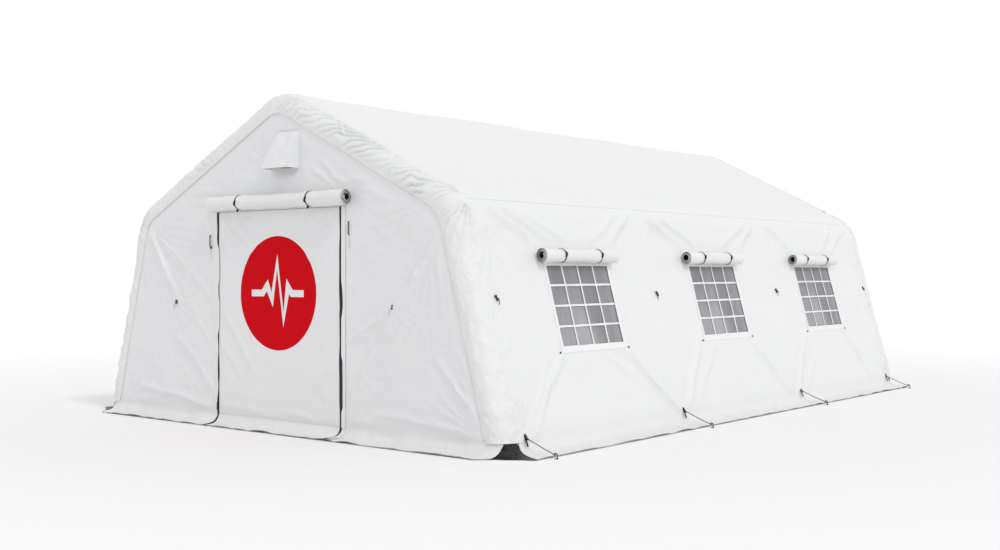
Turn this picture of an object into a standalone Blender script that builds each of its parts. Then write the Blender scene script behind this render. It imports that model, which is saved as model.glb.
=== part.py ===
# Inflatable medical tent: four air arches joined by air purlins, a coated cloth cover,
# two gables with a zipped door and a vent hood, and three net windows on each long side.
# Metres, +Z up. The origin is on the ground at the middle of the plan, the length runs
# along Y, and the front gable faces -Y.

import math

import bmesh
import bpy
from mathutils import Matrix, Vector

# Section of the cover's outer face, taken across the tent to its sharp corners
WIDTH_AT_GROUND = 4.52
WIDTH_AT_EAVES = 3.57
EAVE_HEIGHT = 1.74
RIDGE_HEIGHT = 2.63
EAVE_RADIUS = 0.32
RIDGE_RADIUS = 0.40
EAVE_STEPS = 4
RIDGE_STEPS = 6

# Plan
BAY_LENGTH = 2.11
BAY_COUNT = 3

# Air frame
ARCH_RADIUS = 0.15
PURLIN_RADIUS = 0.10
PURLIN_PLAY = 0.0009
BOOT_HEIGHT = 0.20
BOOT_WALL = 0.006

# Cloth
CLOTH = 0.004
ROLLED_CLOTH = 0.004
SEAM = 0.0003
ROOF_SAG = 0.025
FOLD_WIDTH = 0.11

# Foot of the cover
CREASE_HEIGHT = 0.08
CORNER_CUT_HEIGHT = 0.17
SIDE_SKIRT_REACH = 0.20
GABLE_SKIRT_REACH = 0.16
SKIRT_FLAT = 0.06
SIDE_SKIRT_OVERRUN = 0.07
SLEEVE_STEPS = 4
SHEET_THICKNESS = 0.005
SHEET_MARGIN = 0.03

# Doors
DOOR_WIDTH = 1.40
DOOR_HEAD = 1.69
ZIP_WIDTH = 0.022
ZIP_THICKNESS = 0.005
SLIDER_LENGTH = 0.030
SLIDER_WIDTH = 0.018
SLIDER_HEIGHT = 0.008
SLIDER_BRIDGE = 0.005
PULL_LENGTH = 0.050
FRONT_RIGHT_SLIDER_Z = 0.914
PARKED_SLIDER_Z = 0.16

# Rolled weather flap over each door
DOOR_ROLL_RADIUS = 0.058
DOOR_ROLL_LENGTH = 1.56
DOOR_ROLL_SHIFT = 0.045
DOOR_ROLL_TURNS = 4.4
DOOR_ROLL_PITCH = 0.0105
DOOR_ROLL_LIFT = 0.005
DOOR_STRAP_SPACING = 0.81

# Windows and their rolled blinds
WINDOW_WIDTH = 0.80
WINDOW_SPREAD = 0.953  # the windows' spacing as a share of the bays'
WINDOW_SHIFT = -0.05
WINDOW_SLOPE_HEIGHT = 0.63
WINDOW_CENTRE_HEIGHT = 0.970
WINDOW_BORDER = 0.016
WINDOW_BAR = 0.013
WINDOW_CELLS = 4
NET_THICKNESS = 0.0015
NET_LAP = 0.025
BLIND_RADIUS = 0.0525
BLIND_OVERHANG = 0.085
BLIND_TURNS = 2.6
BLIND_PITCH = 0.0105
BLIND_RISE = 0.033
BLIND_STRAP_SPACING = 0.46
ROLL_TAB = 0.03
STEPS_PER_TURN = 14

# Webbing straps round the rolls
STRAP_WIDTH = 0.016
STRAP_THICKNESS = 0.002

# Vent under each ridge
VENT_WIDTH = 0.30
VENT_HEIGHT_SHARE = 0.355
VENT_TOP_SHARE = 0.55
VENT_SHIFT = 0.10
VENT_REACH = 0.13
VENT_TOP_REACH = 0.012
VENT_HOLE_MARGIN = 0.035

# Air valves
VALVE_HEIGHT = 0.55
VALVE_FLANGE_RADIUS = 0.045
VALVE_NECK_RADIUS = 0.030
VALVE_NECK_HEIGHT = 0.022
VALVE_FLANGE_THICKNESS = 0.006
VALVE_BASE = 0.02
CAP_WALL = 0.004
CAP_GRIP = 0.014
TURN_STEPS = 20

# Hold-downs and the toggles on the walls
TIE_PATCH_WIDTH = 0.09
TIE_PATCH_HEIGHT = 0.10
TIE_PATCH_FOOT = 0.105
TIE_INSET = 0.07
TIE_CORD_RADIUS = 0.003
PEG_OFFSET = 0.05
PEG_RADIUS = 0.022
PEG_POST_RADIUS = 0.006
PEG_HEIGHT = 0.040
PEG_PLATE = 0.006
GUY_TOGGLE_LENGTH = 0.050
GUY_TOGGLE_RADIUS = 0.009
SIDE_TOGGLE_HEIGHT = 1.02
GABLE_TOGGLE_HEIGHT = 0.967
GABLE_TOGGLE_SPACING = 2.49

# Values worked out from the ones above
HALF_LENGTH = BAY_LENGTH * BAY_COUNT / 2
ARCH_DEPTH = CLOTH + SEAM + ARCH_RADIUS
GABLE_FACE = HALF_LENGTH + ARCH_DEPTH
ARCH_PLACES = [BAY_LENGTH * i - HALF_LENGTH for i in range(BAY_COUNT + 1)]
BAY_PLACES = [(a + b) / 2 for a, b in zip(ARCH_PLACES, ARCH_PLACES[1:])]
WINDOW_PLACES = [place * WINDOW_SPREAD + WINDOW_SHIFT for place in BAY_PLACES]
BLIND_LENGTH = WINDOW_WIDTH + 2 * BLIND_OVERHANG
BLIND_CENTRE_HEIGHT = WINDOW_CENTRE_HEIGHT + WINDOW_SLOPE_HEIGHT / 2 + BLIND_RISE
DOOR_ROLL_HEIGHT = DOOR_HEAD + DOOR_ROLL_LIFT + DOOR_ROLL_RADIUS
ABOVE_DOOR_ROLL = RIDGE_HEIGHT - DOOR_ROLL_HEIGHT - DOOR_ROLL_RADIUS - ROLL_TAB
VENT_TOP = RIDGE_HEIGHT - ABOVE_DOOR_ROLL * (1 - VENT_TOP_SHARE)
VENT_HEIGHT = ABOVE_DOOR_ROLL * VENT_HEIGHT_SHARE
ARCH_NAMES = ["arch_front", "arch_second", "arch_third", "arch_rear"]

WHITE = (0.86, 0.87, 0.88)
COOL_WHITE = (0.80, 0.81, 0.83)
BLACK = (0.02, 0.02, 0.022)
NET_GREY = (0.30, 0.29, 0.31)
SHEET_GREY = (0.25, 0.27, 0.29)
TUBE_GREY = (0.62, 0.64, 0.66)


# Scene and small helpers

def clear_scene():
    for item in list(bpy.data.objects):
        bpy.data.objects.remove(item, do_unlink=True)


def collection(name):
    group = bpy.data.collections.new(name)
    bpy.context.scene.collection.children.link(group)
    return group


def material(name, colour, roughness, metallic=0.0):
    look = bpy.data.materials.new(name)
    look.use_nodes = True
    shader = look.node_tree.nodes["Principled BSDF"]
    shader.inputs["Base Color"].default_value = (*colour, 1.0)
    shader.inputs["Roughness"].default_value = roughness
    shader.inputs["Metallic"].default_value = metallic
    look.diffuse_color = (*colour, 1.0)
    return look


def add(name, data, place=None, group=None):
    item = bpy.data.objects.new(name, data)
    if place is not None:
        item.matrix_world = place
    (group or PARTS).objects.link(item)
    return item


def finish(item, colour, roughness=0.6, metallic=0.0):
    item.data.materials.clear()
    item.data.materials.append(material(item.name, colour, roughness, metallic))
    if item.type == "MESH":
        item.data.shade_smooth()
        item.data.set_sharp_from_angle(angle=math.radians(35))
    return item


def mesh_from(bm, name):
    data = bpy.data.meshes.new(name)
    bm.to_mesh(data)
    bm.free()
    return data


def solid(curve_object):
    # A curve's evaluated shape as a welded mesh under the same name
    bpy.context.view_layer.update()
    graph = bpy.context.evaluated_depsgraph_get()
    data = bpy.data.meshes.new_from_object(curve_object.evaluated_get(graph))
    name, place = curve_object.name, curve_object.matrix_world.copy()
    group = curve_object.users_collection[0]
    bpy.data.objects.remove(curve_object, do_unlink=True)
    bm = bmesh.new()
    bm.from_mesh(data)
    bmesh.ops.remove_doubles(bm, verts=bm.verts, dist=1e-6)
    bmesh.ops.recalc_face_normals(bm, faces=bm.faces)
    bm.to_mesh(data)
    bm.free()
    return add(name, data, place, group)


def cut(item, cutter, operation="DIFFERENCE"):
    cutter.hide_render = True
    cutter.display_type = "WIRE"
    step = item.modifiers.new(operation.lower(), "BOOLEAN")
    step.operation = operation
    step.solver = "EXACT"
    step.object = cutter


def fuse(item, pieces, cutters):
    # Pieces sewn or welded to an item become one solid with it
    for piece in pieces:
        for group in list(piece.users_collection):
            group.objects.unlink(piece)
        cutters.objects.link(piece)
        cut(item, piece, "UNION")


def box(name, size, place, group=None):
    bm = bmesh.new()
    bmesh.ops.create_cube(bm, size=1.0, matrix=Matrix.Diagonal((*size, 1.0)))
    return add(name, mesh_from(bm, name), place, group)


def rod(name, radius, start, end, sides=12, group=None):
    # A round bar between two points
    along = end - start
    bm = bmesh.new()
    bmesh.ops.create_cone(bm, cap_ends=True, segments=sides, radius1=radius, radius2=radius,
                          depth=along.length)
    turn = Vector((0, 0, 1)).rotation_difference(along).to_matrix().to_4x4()
    return add(name, mesh_from(bm, name), Matrix.Translation((start + end) / 2) @ turn, group)


def barrel(name, radius, length, place):
    # A short barrel with domed ends, along the local X axis
    dome = radius * 0.5
    profile = [(0.0, length / 2), (radius * 0.7, length / 2), (radius, length / 2 - dome),
               (radius, dome - length / 2), (radius * 0.7, -length / 2), (0.0, -length / 2)]
    return turned(name, profile, place @ Matrix.Rotation(math.pi / 2, 4, "Y"), steps=6)


def turned(name, profile, place, steps=TURN_STEPS):
    # A profile of (radius, height) points, top to bottom, turned round the local Z axis
    bm = bmesh.new()
    spots = [bm.verts.new((r, 0.0, z)) for r, z in profile]
    for a, b in zip(spots, spots[1:]):
        bm.edges.new((a, b))
    item = add(name, mesh_from(bm, name), place)
    screw = item.modifiers.new("turn", "SCREW")
    screw.steps = screw.render_steps = steps
    screw.use_merge_vertices = True
    screw.merge_threshold = 0.00001
    return item


def flat_outline(name, outlines, thickness, place, group=None):
    # Closed outlines in the local XY plane, the later ones holes, given a thickness along Z
    data = bpy.data.curves.new(name, "CURVE")
    data.dimensions = "2D"
    data.fill_mode = "BOTH"
    data.extrude = thickness / 2
    for outline in outlines:
        spline = data.splines.new("POLY")
        spline.points.add(len(outline) - 1)
        for point, (x, y) in zip(spline.points, outline):
            point.co = (x, y, 0.0, 1.0)
        spline.use_cyclic_u = True
    return solid(add(name, data, place, group))


def tube(name, points, radius, resolution, factors=None, group=None):
    data = bpy.data.curves.new(name, "CURVE")
    data.dimensions = "3D"
    data.bevel_depth = radius
    data.bevel_resolution = resolution
    data.use_fill_caps = True
    spline = data.splines.new("POLY")
    spline.points.add(len(points) - 1)
    for i, place in enumerate(points):
        spline.points[i].co = (*place, 1.0)
        spline.points[i].radius = factors[i] if factors else 1.0
    return solid(add(name, data, group=group))


def rectangle(width, height, x=0.0, y=0.0):
    return [(x - width / 2, y - height / 2), (x + width / 2, y - height / 2),
            (x + width / 2, y + height / 2), (x - width / 2, y + height / 2)]


# The section and its frames

def crossing(p, u, q, v):
    return p + u * ((q - p).cross(v) / u.cross(v))


def section_corners(depth, foot_height):
    # Sharp corners, left foot to right foot, of the section moved inwards by depth
    foot = Vector((WIDTH_AT_GROUND / 2, 0.0))
    eave = Vector((WIDTH_AT_EAVES / 2, EAVE_HEIGHT))
    ridge = Vector((0.0, RIDGE_HEIGHT))
    leg, rafter = (eave - foot).normalized(), (ridge - eave).normalized()
    on_leg = foot + depth * Vector((-leg.y, leg.x))
    on_rafter = eave + depth * Vector((-rafter.y, rafter.x))
    low = crossing(on_leg, leg, Vector((0.0, foot_height)), Vector((1.0, 0.0)))
    corner = crossing(on_leg, leg, on_rafter, rafter)
    top = crossing(on_rafter, rafter, Vector((0.0, 0.0)), Vector((0.0, 1.0)))
    return [Vector((-low.x, low.y)), Vector((-corner.x, corner.y)), top, corner, low]


def outer_line():
    # Points of the outer face's section with rounded eaves and ridge, left foot to right foot
    corners = section_corners(0.0, 0.0)
    line = [corners[0]]
    rounds = [(EAVE_RADIUS, EAVE_STEPS), (RIDGE_RADIUS, RIDGE_STEPS), (EAVE_RADIUS, EAVE_STEPS)]
    for i, (radius, steps) in enumerate(rounds, start=1):
        arrive = (corners[i] - corners[i - 1]).normalized()
        leave = (corners[i + 1] - corners[i]).normalized()
        turn = arrive.angle(leave)
        normal = Vector((-arrive.y, arrive.x))
        centre = corners[i] - arrive * (radius * math.tan(turn / 2)) - normal * radius
        for k in range(steps + 1):
            a = -turn * k / steps
            line.append(centre + radius * Vector((normal.x * math.cos(a) - normal.y * math.sin(a),
                                                  normal.x * math.sin(a) + normal.y * math.cos(a))))
    return line + [corners[4]]


def section_path(depth, foot_height):
    # That line moved inwards by depth, parallel to itself, as (point, outward normal)
    line = outer_line()
    runs = [(b - a).normalized() for a, b in zip(line, line[1:])]
    normals = [Vector((-run.y, run.x)) for run in runs]
    path = []
    for point, before, after in zip(line[1:-1], normals, normals[1:]):
        normal = (before + after).normalized()
        path.append((point - normal * depth / normal.dot(before), normal))
    ends = []
    for point, run, normal in ((line[0], runs[0], normals[0]), (line[-1], runs[-1], normals[-1])):
        moved = point - normal * depth
        ends.append((moved + run * ((foot_height - moved.y) / run.y), normal))
    return [ends[0]] + path + [ends[1]]


def half_section(depth, foot_height):
    # Right half of that path, foot to ridge
    path = section_path(depth, foot_height)
    return list(reversed(path[len(path) // 2:]))


def wall_lean():
    return math.atan2(WIDTH_AT_GROUND - WIDTH_AT_EAVES, 2 * EAVE_HEIGHT)


def wall_frame(side, y, height, stand=0.0):
    # On a long wall's outer face: local X along the wall, Y up the slope, Z outwards
    lean = wall_lean()
    out = Vector((side * math.cos(lean), 0.0, math.sin(lean)))
    up = Vector((-side * math.sin(lean), 0.0, math.cos(lean)))
    origin = Vector((side * (WIDTH_AT_GROUND / 2 - height * math.tan(lean)), y, height)) + out * stand
    frame = Matrix((up.cross(out), up, out)).transposed().to_4x4()
    return Matrix.Translation(origin) @ frame


def gable_frame(end, x, height, stand=0.0):
    # On a gable's outer face: local X to the right seen from outside, Y up, Z outwards
    frame = Matrix.Rotation(math.pi / 2, 4, "X")
    turn = Matrix.Rotation(0.0 if end < 0 else math.pi, 4, "Z")
    return turn @ Matrix.Translation((x, -GABLE_FACE - stand, height)) @ frame


def profile_frame(face):
    # Turns a face frame so that outlines drawn as (outwards, up) run along the face's X
    swap = Matrix(((0, 0, -1, 0), (0, 1, 0, 0), (1, 0, 0, 0), (0, 0, 0, 1)))
    return face @ swap


# Cloth with its folds

def fold_height(folds, x, y):
    # Height of the cloth at a place, from ridges that run between two points and fade out
    total = 0.0
    for (x0, y0), (x1, y1), height in folds:
        run = Vector((x1 - x0, y1 - y0))
        t = max(0.0, min(1.0, Vector((x - x0, y - y0)).dot(run) / run.length_squared))
        away = Vector((x - x0 - run.x * t, y - y0 - run.y * t)).length
        total += height * math.sin(math.pi * (0.15 + 0.7 * t)) * math.exp(-(away / FOLD_WIDTH) ** 2)
    return total


def edge_fade(distance, width):
    t = max(0.0, min(1.0, distance / width))
    return t * t * (3 - 2 * t)


def cloth_sheet(name, columns, rows, spot, outward, left_out=None):
    # A grid whose spot(i, j) gives each point, with the cloth's thickness on its inner side.
    # left_out(i, j) tells which of its cells are holes
    bm = bmesh.new()
    bmesh.ops.create_grid(bm, x_segments=columns, y_segments=rows, size=1.0)
    if left_out:
        middles = [(f, f.calc_center_median()) for f in bm.faces]
        gone = [f for f, c in middles if left_out(int((c.x + 1) / 2 * columns), int((c.y + 1) / 2 * rows))]
        bmesh.ops.delete(bm, geom=gone, context="FACES")
    for v in bm.verts:
        i = round((v.co.x + 1) / 2 * columns)
        j = round((v.co.y + 1) / 2 * rows)
        v.co = spot(i, j)
    bm.normal_update()
    if sum(f.normal.dot(outward) for f in bm.faces) < 0:
        bmesh.ops.reverse_faces(bm, faces=bm.faces)
    item = add(name, mesh_from(bm, name))
    shell = item.modifiers.new("cloth", "SOLIDIFY")
    shell.thickness = CLOTH
    shell.offset = -1.0
    shell.use_even_offset = True
    return item


def lengthways(count):
    # Places along the tent from one end arch to the other, kept clear of the sleeves' seams
    reach = HALF_LENGTH - SEAM
    return [-reach + 2 * reach * i / count for i in range(count + 1)]


def bay_wave(y):
    # 0 at each arch, 1 at the middle of each bay
    return math.sin(math.pi * (y + HALF_LENGTH) / BAY_LENGTH) ** 2


def drawn_back(edge, inner):
    # A panel's edge, moved from its seam so that the cloth's thickness doesn't cross it
    return edge + (inner - edge).normalized() * SEAM * 2


def roof_panel(name, side):
    path = half_section(0.0, CREASE_HEIGHT)
    middle = 1 + EAVE_STEPS // 2
    arc_end = 1 + EAVE_STEPS
    rows = path[middle:arc_end + 1]
    straight = 4
    low, high = path[arc_end], path[arc_end + 1]
    rows += [(low[0].lerp(high[0], k / straight), low[1]) for k in range(1, straight)]
    rows += path[arc_end + 1:]
    first = drawn_back(rows[0][0], rows[1][0])
    last = drawn_back(rows[-1][0], rows[-2][0])
    rows = [(first, rows[0][1])] + rows[1:-1] + [(last, rows[-1][1])]
    run = (rows[-1][0] - rows[0][0]).length
    places = lengthways(6 * BAY_COUNT)

    def spot(i, j):
        point, normal = rows[j]
        share = (point - rows[0][0]).length / run
        sag = ROOF_SAG * bay_wave(places[i]) * math.sin(math.pi * share) ** 2
        p = point - normal * sag
        return Vector((side * p.x, places[i], p.y))

    item = cloth_sheet(name, len(places) - 1, len(rows) - 1, spot, Vector((side, 0, 1)))
    return finish(item, WHITE, 0.5)


def wall_folds():
    # Creases of a long wall as (along, height), drawn by the pull between window and frame
    folds = []
    half = WINDOW_WIDTH / 2
    rise = WINDOW_SLOPE_HEIGHT / 2
    for y, bay in zip(WINDOW_PLACES, BAY_PLACES):
        low, high = WINDOW_CENTRE_HEIGHT - rise, BLIND_CENTRE_HEIGHT + BLIND_RADIUS
        reach = BAY_LENGTH / 2 - ARCH_RADIUS
        above_patch = TIE_PATCH_FOOT + TIE_PATCH_HEIGHT + 0.05
        for way in (-1, 1):
            folds.append(((y + way * half, high + 0.06), (bay + way * reach, EAVE_HEIGHT - 0.14), 0.016))
            folds.append(((y + way * half, low - 0.06), (bay + way * reach, above_patch), 0.014))
    return folds


def skirt_path(reach):
    # Upper face of the cloth as it leaves the crease and lies out on the ground, (outwards, height)
    return [Vector(p) for p in ((0.0, CREASE_HEIGHT), (reach * 0.06, CREASE_HEIGHT * 0.60),
                                (reach * 0.22, CREASE_HEIGHT * 0.28), (reach * 0.45, CLOTH * 1.8),
                                (reach - SKIRT_FLAT, CLOTH), (reach, CLOTH))]


def spaced(start, end, count):
    # Even places from the start up to, but not on, the end
    return [start + (end - start) * k / count for k in range(count)]


def side_wall(name, side):
    # Hem of the skirt to the eave seam in one cloth, its grid lines on the windows' edges
    path = half_section(0.0, CREASE_HEIGHT)
    low, high = path[0], path[1]
    skirt = list(reversed(skirt_path(SIDE_SKIRT_REACH)))[:-1]
    rows = [(Vector((low[0].x + out.x, out.y)), Vector((1.0, 0.0))) for out in skirt]
    rise = WINDOW_SLOPE_HEIGHT / 2 * math.cos(wall_lean())
    sill, head = WINDOW_CENTRE_HEIGHT - rise, WINDOW_CENTRE_HEIGHT + rise
    heights = spaced(low[0].y, sill, 4) + spaced(sill, head, 3) + spaced(head, high[0].y, 3)
    share = [(z - low[0].y) / (high[0].y - low[0].y) for z in heights]
    rows += [(low[0].lerp(high[0], t), low[1]) for t in share]
    rows += path[1:2 + EAVE_STEPS // 2]
    rows[-1] = (drawn_back(rows[-1][0], rows[-2][0]), rows[-1][1])
    sill_row, head_row = len(skirt) + 4, len(skirt) + 7
    places = []
    end, beside = HALF_LENGTH - SEAM, BLIND_OVERHANG + 0.03
    for start, middle in zip([-end] + ARCH_PLACES[1:-1], WINDOW_PLACES):
        stop = start + BAY_LENGTH if start + BAY_LENGTH < end else end
        edges = middle - WINDOW_WIDTH / 2, middle + WINDOW_WIDTH / 2
        places += spaced(start, edges[0] - beside, 2) + [edges[0] - beside] + spaced(*edges, 4)
        places += [edges[1]] + spaced(edges[1] + beside, stop, 2)
    places.append(end)
    folds = wall_folds()

    def spot(i, j):
        point, normal = rows[j]
        y, height = places[i], point.y
        if j < len(skirt):
            spread = SIDE_SKIRT_OVERRUN / HALF_LENGTH * (point.x - low[0].x) / SIDE_SKIRT_REACH
            return Vector((side * point.x, y * (1 + spread), height))
        fade = edge_fade(height - CREASE_HEIGHT, 0.15) * edge_fade(EAVE_HEIGHT - 0.05 - height, 0.12)
        fade *= edge_fade(min(abs(y - a) for a in ARCH_PLACES), 0.30)
        along = min(abs(y - b) for b in WINDOW_PLACES)
        window = max(along - WINDOW_WIDTH / 2 - 0.03, abs(height - WINDOW_CENTRE_HEIGHT) - rise)
        blind = max(along - BLIND_LENGTH / 2 - 0.03, abs(height - BLIND_CENTRE_HEIGHT) - 0.28)
        fade *= edge_fade(min(window, blind), 0.12)
        p = point + normal * fold_height(folds, y, height) * fade
        return Vector((side * p.x, y, p.y))

    def window_hole(i, j):
        return i % 10 in range(3, 7) and j in range(sill_row, head_row)

    item = cloth_sheet(name, len(places) - 1, len(rows) - 1, spot, Vector((side, 0, 0)), window_hole)
    return finish(item, WHITE, 0.5)


def gable_outline(depth):
    # The gable's seams, down to below the ground
    return [(p.x, p.y) for p, _ in section_path(depth, -CREASE_HEIGHT)]


def vent_hole():
    return rectangle(VENT_WIDTH - 2 * VENT_HOLE_MARGIN, VENT_HEIGHT - 2 * VENT_HOLE_MARGIN,
                     VENT_SHIFT, VENT_TOP - VENT_HEIGHT / 2)


def gable_folds():
    # Creases of a gable as (across, height): from the wall toggles to the eaves, and low down
    spread = GABLE_TOGGLE_SPACING / 2
    eave = WIDTH_AT_EAVES / 2 - 2 * ARCH_RADIUS
    beside, outer = (DOOR_WIDTH / 2 + spread) / 2, (WIDTH_AT_GROUND / 2 + spread) / 2
    folds = []
    for way in (-1, 1):
        folds.append(((way * eave, EAVE_HEIGHT - 0.25), (way * spread, GABLE_TOGGLE_HEIGHT + 0.08), 0.012))
        folds.append(((way * (spread - 0.05), GABLE_TOGGLE_HEIGHT - 0.1), (way * beside, 0.75), 0.010))
        folds.append(((way * outer, 0.30), (way * beside, 0.24), 0.010))
        folds.append(((way * beside, 1.35), (way * beside, 0.45), 0.008))
    return folds


def gable_wall(name, end, cutters):
    half = WIDTH_AT_GROUND / 2
    skirt = list(reversed(skirt_path(GABLE_SKIRT_REACH)))[:-1]
    folds = gable_folds()
    jamb, head = DOOR_WIDTH / 2 + ZIP_WIDTH + 2 * SEAM, DOOR_HEAD + 2 * SEAM
    beside, across, upright, above = 8, 5, 8, 5
    xs = [-half + (half - jamb) * i / beside for i in range(beside)]
    xs += [-jamb + 2 * jamb * i / across for i in range(across)]
    xs += [jamb + (half - jamb) * i / beside for i in range(beside + 1)]
    zs = [CREASE_HEIGHT + (head - CREASE_HEIGHT) * j / upright for j in range(upright)]
    zs += [head + (RIDGE_HEIGHT - head) * j / above for j in range(above + 1)]
    face = gable_frame(end, 0.0, 0.0)
    bounds = section_corners(ARCH_DEPTH, CREASE_HEIGHT)
    leg_foot, eave, ridge = bounds[4], bounds[3], bounds[2]

    def edge_gap(x, z):
        # Least distance from a place on the gable to its seams
        leg = (eave - leg_foot).normalized()
        rafter = (ridge - eave).normalized()
        p = Vector((abs(x), z))
        to_leg = (p - leg_foot).dot(Vector((-leg.y, leg.x)))
        to_rafter = (p - eave).dot(Vector((-rafter.y, rafter.x)))
        to_door = max(abs(x) - jamb, z - DOOR_HEAD - 3 * DOOR_ROLL_RADIUS)
        return min(to_leg, to_rafter, to_door, z - CREASE_HEIGHT)

    def spot(i, j):
        x = xs[i]
        if j < len(skirt):
            return face @ Vector((x, skirt[j].y, skirt[j].x))
        z = zs[j - len(skirt)]
        lift = fold_height(folds, x, z) * edge_fade(edge_gap(x, z) - 0.02, 0.12)
        return face @ Vector((x, z, lift))

    def doorway(i, j):
        return beside <= i < beside + across and j < len(skirt) + upright

    outward = face.to_3x3() @ Vector((0, 0, 1))
    item = cloth_sheet(name, len(xs) - 1, len(zs) - 1 + len(skirt), spot, outward, doorway)
    shape = [gable_outline(ARCH_DEPTH + SEAM), vent_hole()]
    cut(item, flat_outline("gable_shape", shape, 4 * GABLE_SKIRT_REACH, face, cutters), "INTERSECT")
    return finish(item, COOL_WHITE, 0.5)


# Air frame

def arch_points(y, foot_height):
    return [Vector((p.x, y, p.y)) for p, _ in section_path(ARCH_DEPTH, foot_height)]


def arch(name, y, cutters):
    # One bent tube from ground to ground, with a groove where each foot's boot begins
    points = arch_points(y, -ARCH_RADIUS)
    left, right = points[0], points[-1]
    waist = (ARCH_RADIUS - BOOT_WALL) / ARCH_RADIUS
    grooves = []
    for foot, knee in ((left, points[1]), (right, points[-2])):
        up = (knee - foot).normalized()
        at = foot + up * ((BOOT_HEIGHT - foot.z) / up.z)
        grooves.append([at + up * BOOT_WALL * k for k in (-1.5, -1.0, 1.0, 1.5)])
    points = [left, *grooves[0], *points[1:-1], *reversed(grooves[1]), right]
    factors = [1.0, 1.0, waist, waist, 1.0] + [1.0] * (len(points) - 10) + [1.0, waist, waist, 1.0, 1.0]
    item = tube(name, points, ARCH_RADIUS, 6, factors)
    cut(item, below(0.0, y, 0.0, "foot_cutter", cutters))
    return finish(item, TUBE_GREY, 0.45)


def below(x, y, height, name, cutters):
    # A wide block whose top is at a height, to cut a piece off level
    size = (WIDTH_AT_GROUND + 1.0, 2.0, 1.0)
    return box(name, size, Matrix.Translation((x, y, height - size[2] / 2)), cutters)


def leg_axis(side, y):
    corners = section_corners(ARCH_DEPTH, 0.0)
    low, high = corners[4], corners[3]
    return Vector((side * low.x, y, low.y)), Vector((side * high.x, y, high.y))


def purlin_centre():
    # Ridge purlin's and right eave purlin's places in the section
    path = half_section(CLOTH + PURLIN_PLAY, 0.0)
    ridge, ridge_normal = path[-1]
    eave, eave_normal = path[1 + EAVE_STEPS // 2]
    return ridge - ridge_normal * PURLIN_RADIUS, eave - eave_normal * PURLIN_RADIUS


def purlin(name, centre, start, end, cutters):
    # A straight tube between two arches, each end cut to the arch it is welded to
    item = rod(name, PURLIN_RADIUS, Vector((centre[0], start, centre[1])),
               Vector((centre[0], end, centre[1])), 14)
    for y in (start, end):
        cut(item, tube("saddle", arch_points(y, 0.0), ARCH_RADIUS + SEAM, 6, group=cutters))
    return finish(item, TUBE_GREY, 0.45)


def purlins(cutters):
    ridge, eave = purlin_centre()
    lines = (("ridge_purlin", ridge), ("left_eave_purlin", Vector((-eave.x, eave.y))),
             ("right_eave_purlin", eave))
    for line, centre in lines:
        for number, (start, end) in enumerate(zip(ARCH_PLACES, ARCH_PLACES[1:]), start=1):
            purlin(f"{line}_{number}", centre, start, end, cutters)


# Sleeves round the end arches

def gable_sleeve(name, end, cutters):
    # A quarter round of cover, lofted from the walls and roof round the arch to the gable's seam
    inner, outer = ARCH_RADIUS + SEAM, ARCH_RADIUS + SEAM + CLOTH
    angles = [math.pi / 2 * k / SLEEVE_STEPS for k in range(SLEEVE_STEPS + 1)]
    section = [(outer * math.cos(a), outer * math.sin(a)) for a in angles]
    section += [(inner * math.cos(a), inner * math.sin(a)) for a in reversed(angles)]
    bm = bmesh.new()
    rings = []
    for point, normal in section_path(ARCH_DEPTH, 0.0):
        rings.append([bm.verts.new((point.x + normal.x * out, -HALF_LENGTH - fore, point.y + normal.y * out))
                      for out, fore in section])
    count = len(section)
    for a, b in zip(rings, rings[1:]):
        for k in range(count):
            bm.faces.new((a[k], a[(k + 1) % count], b[(k + 1) % count], b[k]))
    bm.faces.new(rings[0])
    bm.faces.new(rings[-1])
    bmesh.ops.recalc_face_normals(bm, faces=bm.faces)
    turn = Matrix.Rotation(0.0 if end < 0 else math.pi, 4, "Z")
    item = add(name, mesh_from(bm, name), turn)
    cut(item, below(0.0, end * GABLE_FACE, CORNER_CUT_HEIGHT, "sleeve_cutter", cutters))
    return finish(item, WHITE, 0.5)


# Groundsheet

def groundsheet(name, cutters):
    # Square notches at the corner feet, round ones at the feet between
    width = section_corners(0.0, 0.0)[4].x - SHEET_MARGIN
    length = GABLE_FACE - SHEET_MARGIN
    place = Matrix.Translation((0, 0, SHEET_THICKNESS / 2))
    item = box(name, (2 * width, 2 * length, SHEET_THICKNESS), place)
    for side in (-1, 1):
        for y in ARCH_PLACES:
            foot, knee = leg_axis(side, y)
            if abs(y) > HALF_LENGTH - SEAM:
                size = 2 * (ARCH_RADIUS + SHEET_MARGIN)
                corner = Matrix.Translation((foot.x + side * size, y + math.copysign(size, y), 0.0))
                cut(item, box("corner_notch", (3 * size, 3 * size, size), corner, cutters))
            else:
                up = (knee - foot).normalized() * ARCH_RADIUS
                cut(item, rod("sheet_notch", ARCH_RADIUS + SEAM * 2, foot - up, foot + up, 16, cutters))
    return finish(item, SHEET_GREY, 0.7)


# Doors, zips and sliders

def skirt_band(reach, thickness, top):
    # The same path with the wall above it, as the outline of a band with a thickness
    upper = [Vector((0.0, top))] + skirt_path(reach)
    out = thickness - CLOTH
    path = [upper[0] + Vector((out, 0.0)), upper[1] + Vector((out, 0.0))]
    path += [p + Vector((out * 0.5, out)) for p in upper[2:]]
    lower = []
    for i, spot in enumerate(path[:-2]):
        along = (path[i + 1] - path[max(i - 1, 0)]).normalized()
        lower.append(spot + Vector((along.y, -along.x)) * thickness)
    lower[0].y = top
    lower += [Vector((reach - SKIRT_FLAT, 0.0)), Vector((reach, 0.0))]
    return [tuple(p) for p in path + list(reversed(lower))]


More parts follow.
